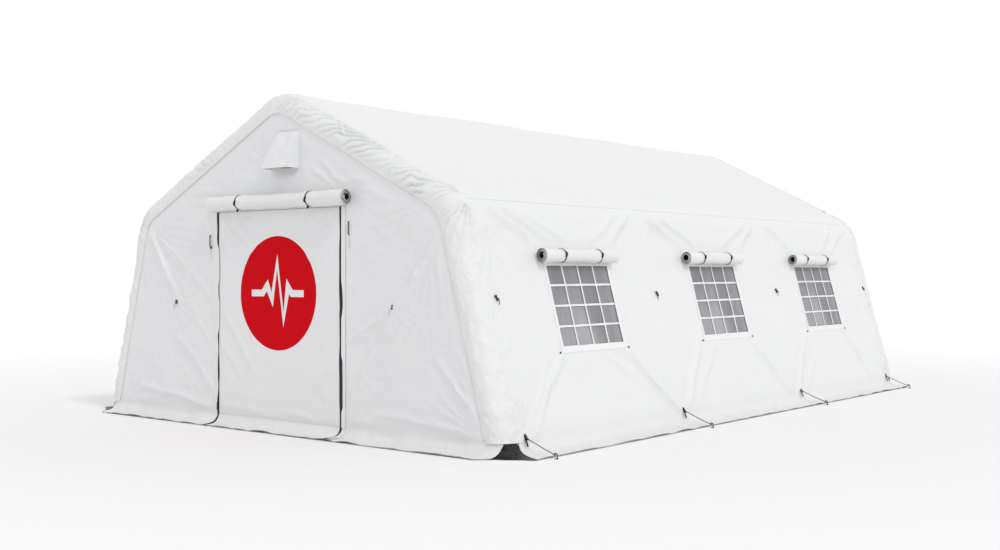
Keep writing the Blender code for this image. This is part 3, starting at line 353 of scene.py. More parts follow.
# Cloth: tint, shade, roughness, size and depth of the creases, depth of the weave, then what is unusual
looks = {
    "cover": clothLook("coatedCover", (0.80, 0.805, 0.81), (0.775, 0.78, 0.785), 0.46, 2.2, 0.010, 0.00012, dust=0.14),
    "gable": clothLook("coatedGable", (0.79, 0.795, 0.805), (0.765, 0.77, 0.78), 0.48, 2.6, 0.010, 0.00012, dust=0.14),
    "door": clothLook("coatedDoor", (0.80, 0.805, 0.815), (0.775, 0.78, 0.79), 0.46, 3.0, 0.010, 0.00012, dust=0.14),
    "rolled": clothLook("rolledCloth", (0.80, 0.81, 0.80), (0.74, 0.75, 0.74), 0.40, 5.0, 0.006, 0.00012),
    # Near black, for painted shade on the faces inside a roll
    "rollInside": clothLook("paintedRollShade", (0.050, 0.050, 0.048), (0.030, 0.030, 0.028), 0.6, 5.0, 0.004, 0.00012,
                            gloss=0.15),
    "emblem": clothLook("redPanel", (0.64, 0.001, 0.008), (0.58, 0.001, 0.006), 0.62, 3.0, 0.002, 0.0001, gloss=0.05),
    "line": clothLook("whiteLine", (0.80, 0.80, 0.80), (0.76, 0.76, 0.76), 0.45, 3.0, 0.001, 0.0001),
    "tape": clothLook("whiteTape", (0.86, 0.86, 0.86), (0.82, 0.82, 0.82), 0.6, 12.0, 0.0006, 0.0004, 900.0),
    "sheet": clothLook("groundsheetCloth", (0.045, 0.047, 0.05), (0.03, 0.032, 0.035), 0.5, 2.0, 0.006, 0.0002,
                       dust=0.6),
    "blackWeb": clothLook("blackWebbing", (0.018, 0.018, 0.020), (0.010, 0.010, 0.011), 0.6, 18.0, 0.0005, 0.0006,
                          800.0),
    "boot": clothLook("blackBoot", (0.016, 0.016, 0.017), (0.006, 0.006, 0.007), 0.36, 9.0, 0.008, 0.0002, dust=0.06,
                      gloss=0.22),
    "tube": clothLook("airTube", (0.55, 0.57, 0.59), (0.48, 0.50, 0.52), 0.35, 2.0, 0.004, 0.0002, dust=0.6),
    "piping": clothLook("whitePiping", (0.74, 0.745, 0.75), (0.66, 0.665, 0.67), 0.45, 8.0, 0.0006, 0.0003, 1200.0,
                        dust=0.3),
    "cord": clothLook("blackCord", (0.020, 0.020, 0.022), (0.010, 0.010, 0.011), 0.62, 30.0, 0.0003, 0.0010, 450.0,
                      dust=0.15),
    "whiteCord": clothLook("whiteCord", (0.70, 0.70, 0.69), (0.60, 0.60, 0.59), 0.62, 30.0, 0.0003, 0.0010, 450.0),
    # Nets: the colour where the painted sheen falls, the colour of the painted shade, then how open the knit is
    "net": netLook("windowNet", (0.43, 0.425, 0.45), (0.23, 0.225, 0.245), 0.16),
    "ventNet": netLook("ventNet", (0.42, 0.46, 0.42), (0.33, 0.37, 0.33), 0.2),
    "blackPlastic": hardLook("blackPlastic", (0.014, 0.014, 0.015), (0.035, 0.035, 0.036), 0.42),
    "blackMetal": hardLook("blackMetal", (0.03, 0.03, 0.032), (0.12, 0.12, 0.12), 0.38, metallic=0.6, scale=900.0),
}
print("materials made")


# ---- the cover's section: a table of places from the right crease over the ridge


def sectionTable():
    foot, eave = np.array((cover["footX"], 0.0)), np.array((cover["eaveX"], cover["eaveZ"]))
    ridge = np.array((0.0, cover["ridgeZ"]))
    leg, rafter = (eave - foot) / np.linalg.norm(eave - foot), (ridge - eave) / np.linalg.norm(ridge - eave)
    legOut, rafterOut = np.array((leg[1], -leg[0])), np.array((rafter[1], -rafter[0]))
    turn = math.acos(leg @ rafter)
    slope = math.atan2(rafterOut[1], rafterOut[0])
    bow, ridgeBow = cover["eaveRound"], cover["ridgeRound"]
    bends = [(eave - leg * bow * math.tan(turn / 2) - legOut * bow, bow, math.atan2(legOut[1], legOut[0]), turn),
             (ridge - (0.0, ridgeBow / math.sin(slope)), ridgeBow, slope, math.pi / 2 - slope)]
    rows = [(*(foot + leg * (creaseZ / leg[1])), *legOut)]
    for centre, radius, start, sweepAngle in bends:
        for k in range(cover["turnSteps"] + 1):
            angle = start + sweepAngle * k / cover["turnSteps"]
            out = np.array((math.cos(angle), math.sin(angle)))
            rows.append((*(centre + out * radius), *out))
    rows = np.array(rows)
    return lengthsAlong(rows[:, :2]), rows


sectionAlong, sectionRows = sectionTable()
topS = float(sectionAlong[-1])
eaveS = float(sectionAlong[1 + cover["turnSteps"] // 2])
wholeS, eaves = 2 * topS, (eaveS, 2 * topS - eaveS)


def sectionAt(s, depth=0.0):
    # Places and outward normals at lengths s from the right crease, moved inwards by depth
    s = np.asarray(s, float)
    far = s > topS
    near = np.where(far, wholeS - s, s)
    x, z, nx, nz = (np.interp(near, sectionAlong, sectionRows[:, k]) for k in range(4))
    below = np.minimum(near, 0.0)
    x, z = x - below * math.sin(lean), z + below * math.cos(lean)
    size = np.hypot(nx, nz)
    nx, nz = nx / size, nz / size
    flip = np.where(far, -1.0, 1.0)
    return (x - nx * depth) * flip, z - nz * depth, nx * flip, nz


def heightToS(z):
    return (z - creaseZ) / math.cos(lean)


# The skirt leaves the crease and lies out on the ground
skirt = {"reach": 0.20, "gableReach": 0.16, "overrun": 0.055, "knots": 61, "smoothing": 40, "lowest": 0.0028,
         "shape": [(0, 0.08), (0.005, 0.062), (0.018, 0.041), (0.042, 0.021), (0.085, 0.0085), (0.135, 0.0055),
                   (0.20, 0.0045)]}


def skirtTable(reach):
    points = np.array(skirt["shape"], float)
    points[:, 0] *= reach / skirt["reach"]
    fine, knots = np.linspace(0, 1, skirt["knots"]), np.linspace(0, 1, len(points))
    path = np.stack([np.interp(fine, knots, points[:, k]) for k in (0, 1)], axis=1)
    for _ in range(skirt["smoothing"]):
        path[1:-1] = (path[:-2] + 2 * path[1:-1] + path[2:]) / 4
    tangent = unitTangents(path)
    return lengthsAlong(path), path, np.stack([-tangent[:, 1], tangent[:, 0]], axis=1)


def skirtAt(table, s):
    along, path, normals = table
    return tuple(np.interp(-s, along, column) for column in (*path.T, *normals.T))


sideSkirt, gableSkirt = skirtTable(skirt["reach"]), skirtTable(skirt["gableReach"])
sideHem, gableHem = -float(sideSkirt[0][-1]), -float(gableSkirt[0][-1])


# ---- fields of folds, all in metres of cloth


def ripple(u, v, size, seed, stretch=(1.0, 1.0), count=16):
    # Smooth random swells about one size long, between roughly -1 and 1
    dice = np.random.default_rng(seed)
    total = np.zeros_like(u, dtype=float)
    for _ in range(count):
        angle, phase = dice.uniform(0, math.tau, 2)
        k = math.tau / (size * dice.uniform(0.65, 1.7))
        total += np.cos(k * (u / stretch[0] * math.cos(angle) + v / stretch[1] * math.sin(angle)) + phase)
    return total / math.sqrt(count)


def pinches(u, v, size, seed, stretch=(1.0, 1.0)):
    # Creases: sharp crests where two swells meet
    return 1.0 - np.minimum(np.abs(ripple(u, v, size, seed, stretch)), 1.0)


def layers(u, v, seed, rows):
    # Ripples and pinches laid over each other, each (field, height, size, step of the seed, stretch if any)
    return sum(height * field(u, v, size, seed + step, *stretch) for field, height, size, step, *stretch in rows)


fold = {"strength": 1.48, "runOut": 0.09, "crest": 0.004, "trough": 0.30}


def creases(u, v, folds):
    # Ridges drawn between two points, each (u0, v0, u1, v1, height, width)
    total = np.zeros_like(u, dtype=float)
    for u0, v0, u1, v1, height, width in folds:
        du, dv = u1 - u0, v1 - v0
        length = math.hypot(du, dv)
        t = ((u - u0) * du + (v - v0) * dv) / length ** 2
        side = ((u - u0) * dv - (v - v0) * du) / length
        side = side + 0.012 * np.sin(t * 4.0 + u0 * 40.0) + 0.004 * np.sin(t * 11.0 + v0 * 30.0)
        past = np.maximum(np.maximum(-t, t - 1.0), 0.0) * length
        swell = 0.35 + 0.65 * np.sin(math.pi * np.clip(0.10 + 0.80 * t, 0, 1))
        sharp = width * (0.46 + 0.24 * np.abs(2 * t - 1))
        crest = np.exp(-(np.sqrt(side ** 2 + fold["crest"] ** 2) - fold["crest"]) / sharp)
        trough = np.exp(-((side - 2.2 * width) / width) ** 2) + 0.6 * np.exp(-((side + 2.0 * width) / width) ** 2)
        high = fold["strength"] * height * np.exp(-(past / fold["runOut"]) ** 2) * swell
        total += high * (crest - fold["trough"] * trough)
    return total


def fan(u, v, cu, cv, count, near, far, height, seed):
    # Folds that spread from one point, strongest between two distances
    du, dv = u - cu, v - cv
    r = np.hypot(du, dv) + 1e-6
    angle = np.arctan2(dv, du)
    dice = np.random.default_rng(seed)
    total = np.zeros_like(u, dtype=float)
    for k in range(4):
        often, phase = round(count * dice.uniform(0.35, 0.75)), dice.uniform(0, math.tau)
        total += np.cos(often * angle + phase + 1.2 * np.sin(r * 7 + k))
    total = (1.0 - np.minimum(np.abs(total) / 1.5, 1.0)) ** 1.3
    return height * total * smoothStep(r, 0.0, near) * (1 - smoothStep(r, near, far))


def ridge(phase, peak):
    # A fold once per whole number: a short steep side, a crest and a long easy side
    part = phase - np.floor(phase)
    return np.where(part < peak, smoothStep(part, 0.0, peak), 1 - smoothStep(part, peak, 1.0))


def each(phase, seed):
    # How strong every fold is, from its number
    return 0.60 + 0.40 * np.sin(np.floor(phase) * 12.9 + seed * 1.7)


# Folds on the band round an end arch and beside it; each fan is its count, near and far edge, and height
band = {"seed": 101, "pitch": 0.090, "sweep": 0.25, "high": (0.030, 0.009), "peak": 0.26,
        "spread": 13.0, "cornerHigh": (0.024, 0.012), "cornerPeak": 0.28,
        "eaveFan": (34, 0.22, 0.95, 0.008), "footFan": (30, 0.22, 0.85, 0.008), "ridgeFan": (24, 0.12, 0.50, 0.005),
        "leg": [(pinches, 0.0090, 0.14, 9, (2.0, 0.8)), (pinches, 0.0058, 0.065, 12, (1.3, 0.8))]}


def pleats(s, w, seed):
    # Folds across the band over an end arch: they rise from the seam, bend and run together at the eaves
    total = np.zeros_like(s, dtype=float)
    share = np.clip(-w / (archDepth * math.pi / 2), 0.0, 1.0)
    wander = 0.30 * ripple(s, w, 0.45, seed + 60)
    for number, (corner, way) in enumerate(zip(eaves, (1.0, -1.0))):
        up = (s - corner) * way
        phase = (up - band["sweep"] * np.log(share + 0.06)) / band["pitch"] + 1.5 * wander
        phase = phase + 0.26 * ripple(up, 0.4 * share, 0.24, seed + 64)
        strong = smoothStep(up, 0.14, 0.30) * (1.0 - 0.70 * smoothStep(up, 0.70, 1.5)) * (up < topS - eaveS)
        high = band["high"][number] * smoothStep(share, 0.05, 0.40)
        total += high * ridge(phase, band["peak"]) * each(phase, seed + number) * strong
        r, angle = np.hypot(up, w - 0.01), np.arctan2(0.01 - w, up)
        phase = angle / math.radians(band["spread"]) + 0.25 * wander
        strong = smoothStep(r, 0.03, 0.10) * (1 - smoothStep(r, 0.20, 0.46)) * smoothStep(angle, 0.10, 0.30)
        high = band["cornerHigh"][number] * each(phase, seed + 4 + number)
        total += high * ridge(phase, band["cornerPeak"]) * strong
    return total * (1 - smoothStep(w, -0.03, 0.03))


def endFolds(s, w):
    # s runs round the section and w from the end arch's middle towards the tent's, in metres
    seed = band["seed"]
    total = pleats(s, w, seed)
    for corner in eaves:
        total += fan(s, w, corner, 0.06, *band["eaveFan"], seed) * smoothStep(w, -0.06, 0.04)
    for foot in (0.0, wholeS):
        total += fan(s, w, foot, -0.10, *band["footFan"], seed + 3)
    total += fan(s, w, topS, -0.20, *band["ridgeFan"], seed + 5)
    leg = 1 - smoothStep(np.minimum(s, wholeS - s), eaveS - 0.30, eaveS - 0.05)
    total += leg * layers(s, w, seed, band["leg"]) * (1 - smoothStep(w, 0.05, 0.22))
    total += 0.0016 * ripple(s, w, 0.16, seed + 11)
    return total * (1 - smoothStep(w, 0.10, 0.60))


def atEnds(y, s):
    # The same folds on the walls and the roof, counted from the nearer end
    return endFolds(np.where(y > 0, wholeS - s, s), halfLength - np.abs(y))


# ---- meshes of cloth


def runOf(*stops, cell=None):
    # Grid lines from stop to stop, each stop on a line
    lines = [stops[0]]
    for a, b in zip(stops, stops[1:]):
        lines += list(np.linspace(a, b, max(1, round((b - a) / (cell or cover["cell"]))) + 1)[1:])
    return np.array(lines)


def thicken(piece, thickness, offset=-1.0):
    shell = piece.modifiers.new("cloth", "SOLIDIFY")
    shell.thickness = thickness
    shell.offset = offset
    applyModifiers(piece)
    bpy.ops.object.shade_smooth_by_angle(angle=math.radians(50))
    return piece


hollow = {"passes": 5, "deep": 0.0036}


def hollowOf(grid, flip):
    # 1 in the bottoms of the folds and 0 on flats and crests: painted shade that darkens the cloth's colour there
    smooth = grid
    for _ in range(hollow["passes"]):
        wide = np.pad(smooth, ((1, 1), (1, 1), (0, 0)), mode="edge")
        smooth = 0.5 * smooth + 0.125 * (wide[2:, 1:-1] + wide[:-2, 1:-1] + wide[1:-1, 2:] + wide[1:-1, :-2])
    normal = np.cross(np.gradient(smooth, axis=0), np.gradient(smooth, axis=1)) * (-1.0 if flip else 1.0)
    depth = ((smooth - grid) * normal).sum(2) / np.maximum(np.linalg.norm(normal, axis=2), 1e-9)
    depth[[0, -1], :] = 0.0
    depth[:, [0, -1]] = 0.0
    return smoothStep(depth, 0.0, hollow["deep"])


def gridSheet(name, us, vs, surface, half=0, hole=None, thickness=cover["cloth"], flip=False, foldShadeWeight=None):
    # A sheet on a grid of lengths of cloth; the last argument says how much painted shade darkens the hollows of its
    # folds
    u, v = np.meshgrid(us, vs, indexing="ij")
    points = turned(surface(u.ravel(), v.ravel()), half)
    index = np.arange(u.size).reshape(u.shape)
    quads = np.stack([index[:-1, :-1], index[1:, :-1], index[1:, 1:], index[:-1, 1:]], axis=-1)
    if hole is not None:
        quads = quads[~hole((us[:-1, None] + us[1:, None]) / 2, (vs[None, :-1] + vs[None, 1:]) / 2)]
    quads = quads.reshape(-1, 4)
    if flip:
        quads = quads[:, ::-1]
    used = np.unique(quads)
    back = np.full(u.size, -1)
    back[used] = np.arange(len(used))
    piece = meshPiece(name, points[used], back[quads], np.stack([u.ravel(), v.ravel()], axis=1)[used])
    if foldShadeWeight is not None:
        deep = hollowOf(points.reshape(*u.shape, 3), flip) * foldShadeWeight(u)
        mask = piece.data.attributes.new("hollow", "FLOAT", "POINT")
        mask.data.foreach_set("value", deep.ravel()[used].astype(np.float32))
    return thicken(piece, thickness)


def resample(loop, cell):
    points = []
    for a, b in zip(loop, loop[1:] + loop[:1]):
        a, b = np.array(a, float), np.array(b, float)
        steps = max(1, round(np.linalg.norm(b - a) / cell))
        points += [a + (b - a) * k / steps for k in range(steps)]
    return points


def inside(points, loop):
    x, z = points[:, 0], points[:, 1]
    within = np.zeros(len(points), bool)
    for a, b in zip(loop, np.roll(loop, -1, axis=0)):
        at = a[0] + (z - a[1]) / np.where(b[1] == a[1], 1e-9, b[1] - a[1]) * (b[0] - a[0])
        within ^= ((a[1] > z) != (b[1] > z)) & (x < at)
    return within


def plateSheet(name, outline, holes, surface, cell, half=0, thickness=cover["cloth"], flip=False):
    # A sheet cut to an outline: even points inside it, joined in triangles
    loops = [resample(loop, cell) for loop in [outline, *holes]]
    edges, first = [], 0
    for loop in loops:
        edges += [(first + k, first + (k + 1) % len(loop)) for k in range(len(loop))]
        first += len(loop)
    rim = np.array([point for loop in loops for point in loop])
    low, high = rim.min(0), rim.max(0)
    rows, columns = np.arange(low[1], high[1], cell * 0.87), np.arange(low[0], high[0], cell)
    grid = np.array([(x + (cell / 2 if j % 2 else 0.0), z) for j, z in enumerate(rows) for x in columns])
    grid = grid[inside(grid, loops[0]) & ~np.any([inside(grid, loop) for loop in loops[1:]] or [False], axis=0)]
    gap = np.full(len(grid), 9.0)
    for point in rim:
        gap = np.minimum(gap, np.abs(grid - point).max(1))
    flat = np.concatenate([rim, grid[gap > cell * 0.55]])
    made = geometry.delaunay_2d_cdt([Vector(p) for p in flat], edges, [], 1, 1e-6)
    places = np.array([tuple(p) for p in made[0]])
    faces = np.array([f for f in made[2] if len(f) == 3])
    middles = places[faces].mean(1)
    gone = np.any([inside(middles, loop) for loop in loops[1:]] or [False], axis=0)
    faces = faces[~gone & inside(middles, loops[0])]
    if flip:
        faces = faces[:, ::-1]
    points = turned(surface(places[:, 0], places[:, 1]), half)
    return thicken(meshPiece(name, points, faces, places), thickness)


# ---- long walls with their skirts

wall = {"windowWide": 0.80, "windowTall": 0.63, "windowMiddle": 0.970, "seed": 11, "hollow": 0.010,
        "blindHalf": 0.52, "blindMiddle": 1.335, "blindTall": 0.075, "skirtCell": 0.017, "lap": 0.012,
        "layers": [(ripple, 0.0030, 0.60, 0), (pinches, 0.0034, 0.42, 1), (pinches, 0.0014, 0.13, 2, (1.6, 0.8))],
        "eaveFan": (34, 0.20, 0.85, 0.006), "footFan": (30, 0.18, 0.65, 0.007),
        "skirt": [(ripple, 0.005, 0.30, 40, (1.0, 2.0)), (pinches, 0.0045, 0.14, 41, (1.0, 2.5))],
        "folds": [  # along, height, along, height, how high, how wide; as the photograph shows the right wall
            (-3.03, 1.71, -2.50, 1.38, 0.017, 0.030), (-2.90, 1.72, -2.33, 1.43, 0.016, 0.028),
            (-2.70, 1.68, -2.12, 1.41, 0.010, 0.026), (-1.60, 1.41, -1.15, 1.70, 0.017, 0.030),
            (-1.80, 1.46, -1.40, 1.65, 0.010, 0.026), (-0.99, 1.69, -0.54, 1.44, 0.015, 0.028),
            (-0.82, 1.70, -0.24, 1.42, 0.013, 0.028), (0.19, 1.41, 0.84, 1.72, 0.015, 0.030),
            (0.53, 1.42, 0.92, 1.69, 0.016, 0.028), (1.10, 1.68, 1.56, 1.43, 0.011, 0.028),
            (2.29, 1.43, 2.72, 1.72, 0.014, 0.028), (2.53, 1.40, 3.00, 1.69, 0.015, 0.028),
            (-2.48, 0.65, -2.92, 0.17, 0.015, 0.032), (-2.66, 0.58, -2.98, 0.18, 0.009, 0.026),
            (-1.66, 0.64, -1.10, 0.11, 0.018, 0.032), (-1.92, 0.61, -1.56, 0.36, 0.009, 0.028),
            (-0.52, 0.64, -0.96, 0.15, 0.017, 0.032), (-0.31, 0.60, -0.76, 0.18, 0.010, 0.028),
            (0.38, 0.60, 0.88, 0.10, 0.015, 0.030), (1.50, 0.63, 1.02, 0.11, 0.016, 0.030),
            (1.75, 0.57, 1.22, 0.09, 0.010, 0.028), (2.36, 0.60, 2.78, 0.10, 0.012, 0.030),
            (-2.93, 1.56, -2.72, 1.22, 0.008, 0.024), (-3.03, 1.45, -2.86, 1.10, 0.007, 0.022)]}
windowRise = wall["windowTall"] / 2 * math.cos(lean)
sillS, headS = heightToS(wall["windowMiddle"] - windowRise), heightToS(wall["windowMiddle"] + windowRise)


def wallLift(y, s, seed):
    # Height of the wall's cloth over its flat face
    z = creaseZ + s * math.cos(lean)
    sag = -wall["hollow"] * (1 - np.exp(-(distanceTo(y, archPlaces) / 0.16) ** 2))
    sag = sag * smoothStep(s, 0.0, 0.25) * (1 - smoothStep(s, eaveS - 0.35, eaveS))
    lift = creases(y, s, [(a, heightToS(b), c, heightToS(d), h, w) for a, b, c, d, h, w in wall["folds"]])
    lift += layers(y, s, seed, wall["layers"])
    for k, arch in enumerate(archPlaces[1:-1]):
        lift += fan(y, s, arch, eaveS + 0.02, *wall["eaveFan"], seed + 20 + k)
        lift += fan(y, s, arch, 0.0, *wall["footFan"], seed + 30 + k)
    along = distanceTo(y, windowPlaces)
    toWindow = np.maximum(along - wall["windowWide"] / 2 - 0.03, np.abs(z - wall["windowMiddle"]) - windowRise - 0.02)
    toBlind = np.maximum(along - wall["blindHalf"], np.abs(z - wall["blindMiddle"]) - wall["blindTall"])
    clear = np.minimum(toWindow, toBlind)
    fade = smoothStep(clear, 0.0, 0.07) * smoothStep(s, 0.0, 0.07) * (1 - smoothStep(s, eaveS - 0.10, eaveS - 0.01))
    lift = lift * fade * smoothStep(halfLength - np.abs(y), 0.0, 0.10)
    fade = smoothStep(s, -0.02, 0.05) * smoothStep(clear, 0.0, 0.10) * (1 - smoothStep(s, eaveS - 0.04, eaveS))
    return lift + atEnds(y, s) * fade + sag * smoothStep(clear, -0.05, 0.2)


def skirtLie(table, u, s, seed, waves, lie):
    # The skirt's reach, the same with its ripples, its height, and how far it is free of the crease
    out, rise, ox, oz = skirtAt(table, np.minimum(s, 0.0))
    free = smoothStep(-s, 0.0, 0.05)
    wave = layers(u, s, seed, waves)
    height = rise + free * (0.5 * wave + 0.007 * np.abs(ripple(u, s, *lie))) * oz
    return out, out + free * wave * ox * 1.5, np.maximum(height, skirt["lowest"]), free


def sideSurface(half):
    seed = wall["seed"] + half

    def surface(y, s):
        x, z, nx, nz = sectionAt(np.maximum(s, 0.0))
        under = smoothStep(s, eaveS - 0.03, eaveS - 0.005) + smoothStep(np.abs(y), halfLength - 0.02, halfLength)
        lift = wallLift(y, np.maximum(s, 0.0), seed) - cover["tuck"] * under
        out, reach, height, free = skirtLie(sideSkirt, y, s, seed, wall["skirt"], (0.45, seed + 42))
        reach = x + reach + free * 0.003 * ripple(y, s * 0, 0.8, seed + 43)
        spread = 1 + skirt["overrun"] / halfLength * (out / skirt["reach"]) ** 2
        onGround = s < 0
        return np.stack([np.where(onGround, reach, x + nx * lift), np.where(onGround, y * spread, y),
                         np.where(onGround, height, z + nz * lift)], axis=1)
    return surface


def windowHole(y, s):
    return (distanceTo(y, windowPlaces) < wall["windowWide"] / 2) & (s > sillS) & (s < headS)


sideYs = runOf(-halfLength, *(middle + way * wall["windowWide"] / 2 for middle in windowPlaces for way in (-1, 1)),
               halfLength)
sideRows = np.concatenate([runOf(sideHem, -0.001, cell=wall["skirtCell"]),
                           runOf(0.0, sillS, headS, eaveS + wall["lap"])])
for half, word in enumerate(walls):
    piece = gridSheet("sideCover" + word, sideYs, sideRows, sideSurface(half), half, windowHole)
    give(piece, "cover", "tent", "side_wall_" + word.lower(), slot="cover")
print("walls sewn")


# ---- roof

roof = {"seed": 31, "sag": 0.055, "ridgeHang": 0.006, "cell": 0.026, "fan": (22, 0.30, 1.0, 0.004),
        "layers": [(ripple, 0.0018, 0.7, 0), (pinches, 0.0012, 0.45, 1)]}


def roofLift(y, s):
    slope = np.abs(np.sin(math.tau * (s - eaveS) / (wholeS - 2 * eaveS))) ** 1.2
    drop = (1 - np.exp(-(distanceTo(y, archPlaces) / 0.24) ** 1.3))
    drop = drop * (0.6 + 0.4 * np.sin(math.pi * (y + halfLength) / cover["bay"]) ** 2)
    lift = layers(y, s, roof["seed"], roof["layers"]) - roof["sag"] * drop * slope
    lift -= roof["ridgeHang"] * drop * np.exp(-((s - topS) / 0.25) ** 2)
    for k, arch in enumerate(archPlaces[1:-1]):
        for corner in eaves:
            lift += fan(y, s, arch, corner, *roof["fan"], roof["seed"] + 20 + k)
    edge = np.minimum(s - eaveS, wholeS - eaveS - s)
    return (lift * smoothStep(halfLength - np.abs(y), 0.0, 0.12) + atEnds(y, s)) * smoothStep(edge, 0.0, 0.05)


def roofSurface(y, s):
    x, z, nx, nz = sectionAt(s)
    lift = roofLift(y, s) - cover["tuck"] * smoothStep(np.abs(y), halfLength - 0.02, halfLength)
    return np.stack([x + nx * lift, y, z + nz * lift], axis=1)


roofCover = gridSheet("roofCover", runOf(-halfLength, halfLength, cell=roof["cell"]),
                      runOf(eaves[0], topS, eaves[1], cell=roof["cell"]), roofSurface)
give(roofCover, "cover", "tent", "roof_panel_left", "roof_panel_right", slot="cover")
print("roof laid")


# ---- sleeves round the end arches

# The last two sizes weigh the painted shade in the band's fold hollows, most near the eaves
sleeve = {"low": 0.088, "overlap": 0.012, "cell": 0.0115, "square": 3.0, "footLevel": 0.0421, "stand": 0.0006,
          "flatWide": 0.26, "dustAndFoldShade": 0.12, "eaveFoldShade": 0.78}


def bandRadius(angle):
    # The band's round is squared off a little
    n = sleeve["square"]
    return archDepth * (np.abs(np.cos(angle)) ** n + np.abs(np.sin(angle)) ** n) ** (-1 / n)


def sleeveSurface(s, w):
    angle = np.clip(-w / archDepth, 0.0, math.pi / 2)
    near = np.minimum(s, wholeS - s)
    level = sleeve["footLevel"] * (1 - np.cos(angle)) * (1 - smoothStep(near, 0.0, 0.8))
    x, z, nx, nz = sectionAt(np.where(s > topS, s - level, s + level), archDepth)
    lift = endFolds(s, w) * smoothStep(w + archDepth * math.pi / 2, 0.0, 0.05)
    lift = lift * (1 - smoothStep(w, -0.004, sleeve["overlap"]) * (np.abs(near - eaveS) < 0.02))
    r = bandRadius(angle) + lift + sleeve["stand"]
    y = np.maximum(w, 0.0) - halfLength - r * np.sin(angle)
    return np.stack([x + nx * r * np.cos(angle), y, z + nz * r * np.cos(angle)], axis=1)


# How strongly painted shade darkens the band's fold hollows: a little everywhere, most near the eaves
def sleeveFoldShade(s):
    return sleeve["dustAndFoldShade"] + sleeve["eaveFoldShade"] * smoothStep(np.minimum(s, wholeS - s), eaveS - 0.25, eaveS - 0.02)


def buildSleeves():
    low = heightToS(sleeve["low"])
    ss = runOf(low, eaves[0], topS, eaves[1], wholeS - low, cell=sleeve["cell"])
    ws = [*runOf(-archDepth * math.pi / 2, 0.0, cell=sleeve["cell"]), sleeve["overlap"]]
    for half, word in enumerate(ends):
        piece = gridSheet("gableSleeve" + word, ss, np.array(ws), sleeveSurface, half, flip=True, foldShadeWeight=sleeveFoldShade)
        give(piece, "cover", "tent", "gable_sleeve_" + word.lower(), slot="cover")


buildSleeves()
print("sleeves sewn")


# ---- gables

gable = {"footX": 2.0995, "wrapRound": 0.20, "wrapHem": 0.071, "doorHalf": 0.7226, "doorHead": 1.6906, "seed": 81,
         "wrap": [(0.078, 0.75), (0.095, 0.42), (0.122, 0.14), (0.140, 0.0)],  # past the foot, share of the skirt
         "wrapTop": (0.146, 0.024), "flat": (4.30, 2.50), "area": 5.43, "toggleX": 1.245, "toggleZ": 0.967,
         "leg": (-0.441, 1.607), "legX": 2.118, "rafterTop": 2.405, "rafterFall": 0.498, "rafterTilt": 0.895,
         "ventHole": [(-0.015, 2.03), (0.215, 2.03), (0.215, 2.24), (0.085, 2.24)],
         "ventFlat": (0.10, 2.135, 0.15, 0.14),  # middle and half sizes of the part that stays flat
         "layers": [(ripple, 0.0028, 0.5, 0), (pinches, 0.0036, 0.36, 1), (pinches, 0.0016, 0.14, 2, (1.8, 0.7))],
         "skirt": [(ripple, 0.005, 0.28, 70, (1.0, 2.0)), (pinches, 0.005, 0.14, 71, (1.0, 2.5))],
         "fans": [(1.70, 1.66, 36, 0.25, 1.05, 0.0085, 4), (0.78, 1.80, 22, 0.15, 0.55, 0.0035, 8),
                  (2.08, 0.10, 30, 0.20, 0.75, 0.008, 12), (0.74, 0.05, 26, 0.15, 0.55, 0.006, 16),
                  (1.245, 0.967, 18, 0.08, 0.40, 0.005, 18)],
         "folds": [
             (-1.63, 1.60, -1.25, 1.00, 0.015, 0.028), (-1.42, 1.46, -0.80, 1.02, 0.009, 0.030),
             (-1.53, 1.50, -1.08, 1.16, 0.006, 0.022), (-1.24, 0.68, -0.76, 0.30, 0.008, 0.034),
             (-1.02, 0.90, -0.78, 0.62, 0.006, 0.024), (-1.75, 0.26, -0.80, 0.12, 0.010, 0.034),
             (1.67, 1.46, 1.28, 1.00, 0.014, 0.028), (1.24, 0.96, 0.80, 0.72, 0.010, 0.028),
             (1.28, 1.00, 0.84, 0.36, 0.009, 0.032), (1.04, 0.60, 0.86, 0.36, 0.008, 0.026),
             (1.68, 0.60, 2.02, 0.22, 0.009, 0.026), (1.86, 0.66, 2.06, 0.30, 0.007, 0.022),
             (0.43, 1.99, 0.60, 1.85, 0.007, 0.022), (0.52, 2.02, 0.72, 1.88, 0.006, 0.020),
             (-1.14, 1.86, -0.75, 1.85, 0.007, 0.022), (-1.05, 1.78, -0.76, 1.79, 0.006, 0.020),
             (-0.10, 2.30, -0.18, 2.06, 0.006, 0.022), (0.82, 1.87, 1.06, 1.90, 0.007, 0.022),
             (0.86, 2.06, 1.18, 1.93, 0.006, 0.022), (1.10, 0.20, 1.95, 0.13, 0.008, 0.030)]}


def seamPath(depth, low, count=170):
    # Right foot to left foot along the gable's seam
    s = np.linspace(heightToS(low + 0.04), wholeS - heightToS(low + 0.04), count)
    x, z, _, _ = sectionAt(s, depth)
    return list(zip(x.tolist(), z.tolist()))


def fansOf(x, z, seed, rows):
    # Fans on both sides of the middle, each (x, z, count, near, far, height, step of the seed)
    return sum(fan(x, z, way * cx, cz, *spread, seed + step + way) for way in (-1, 1) for cx, cz, *spread, step in rows)


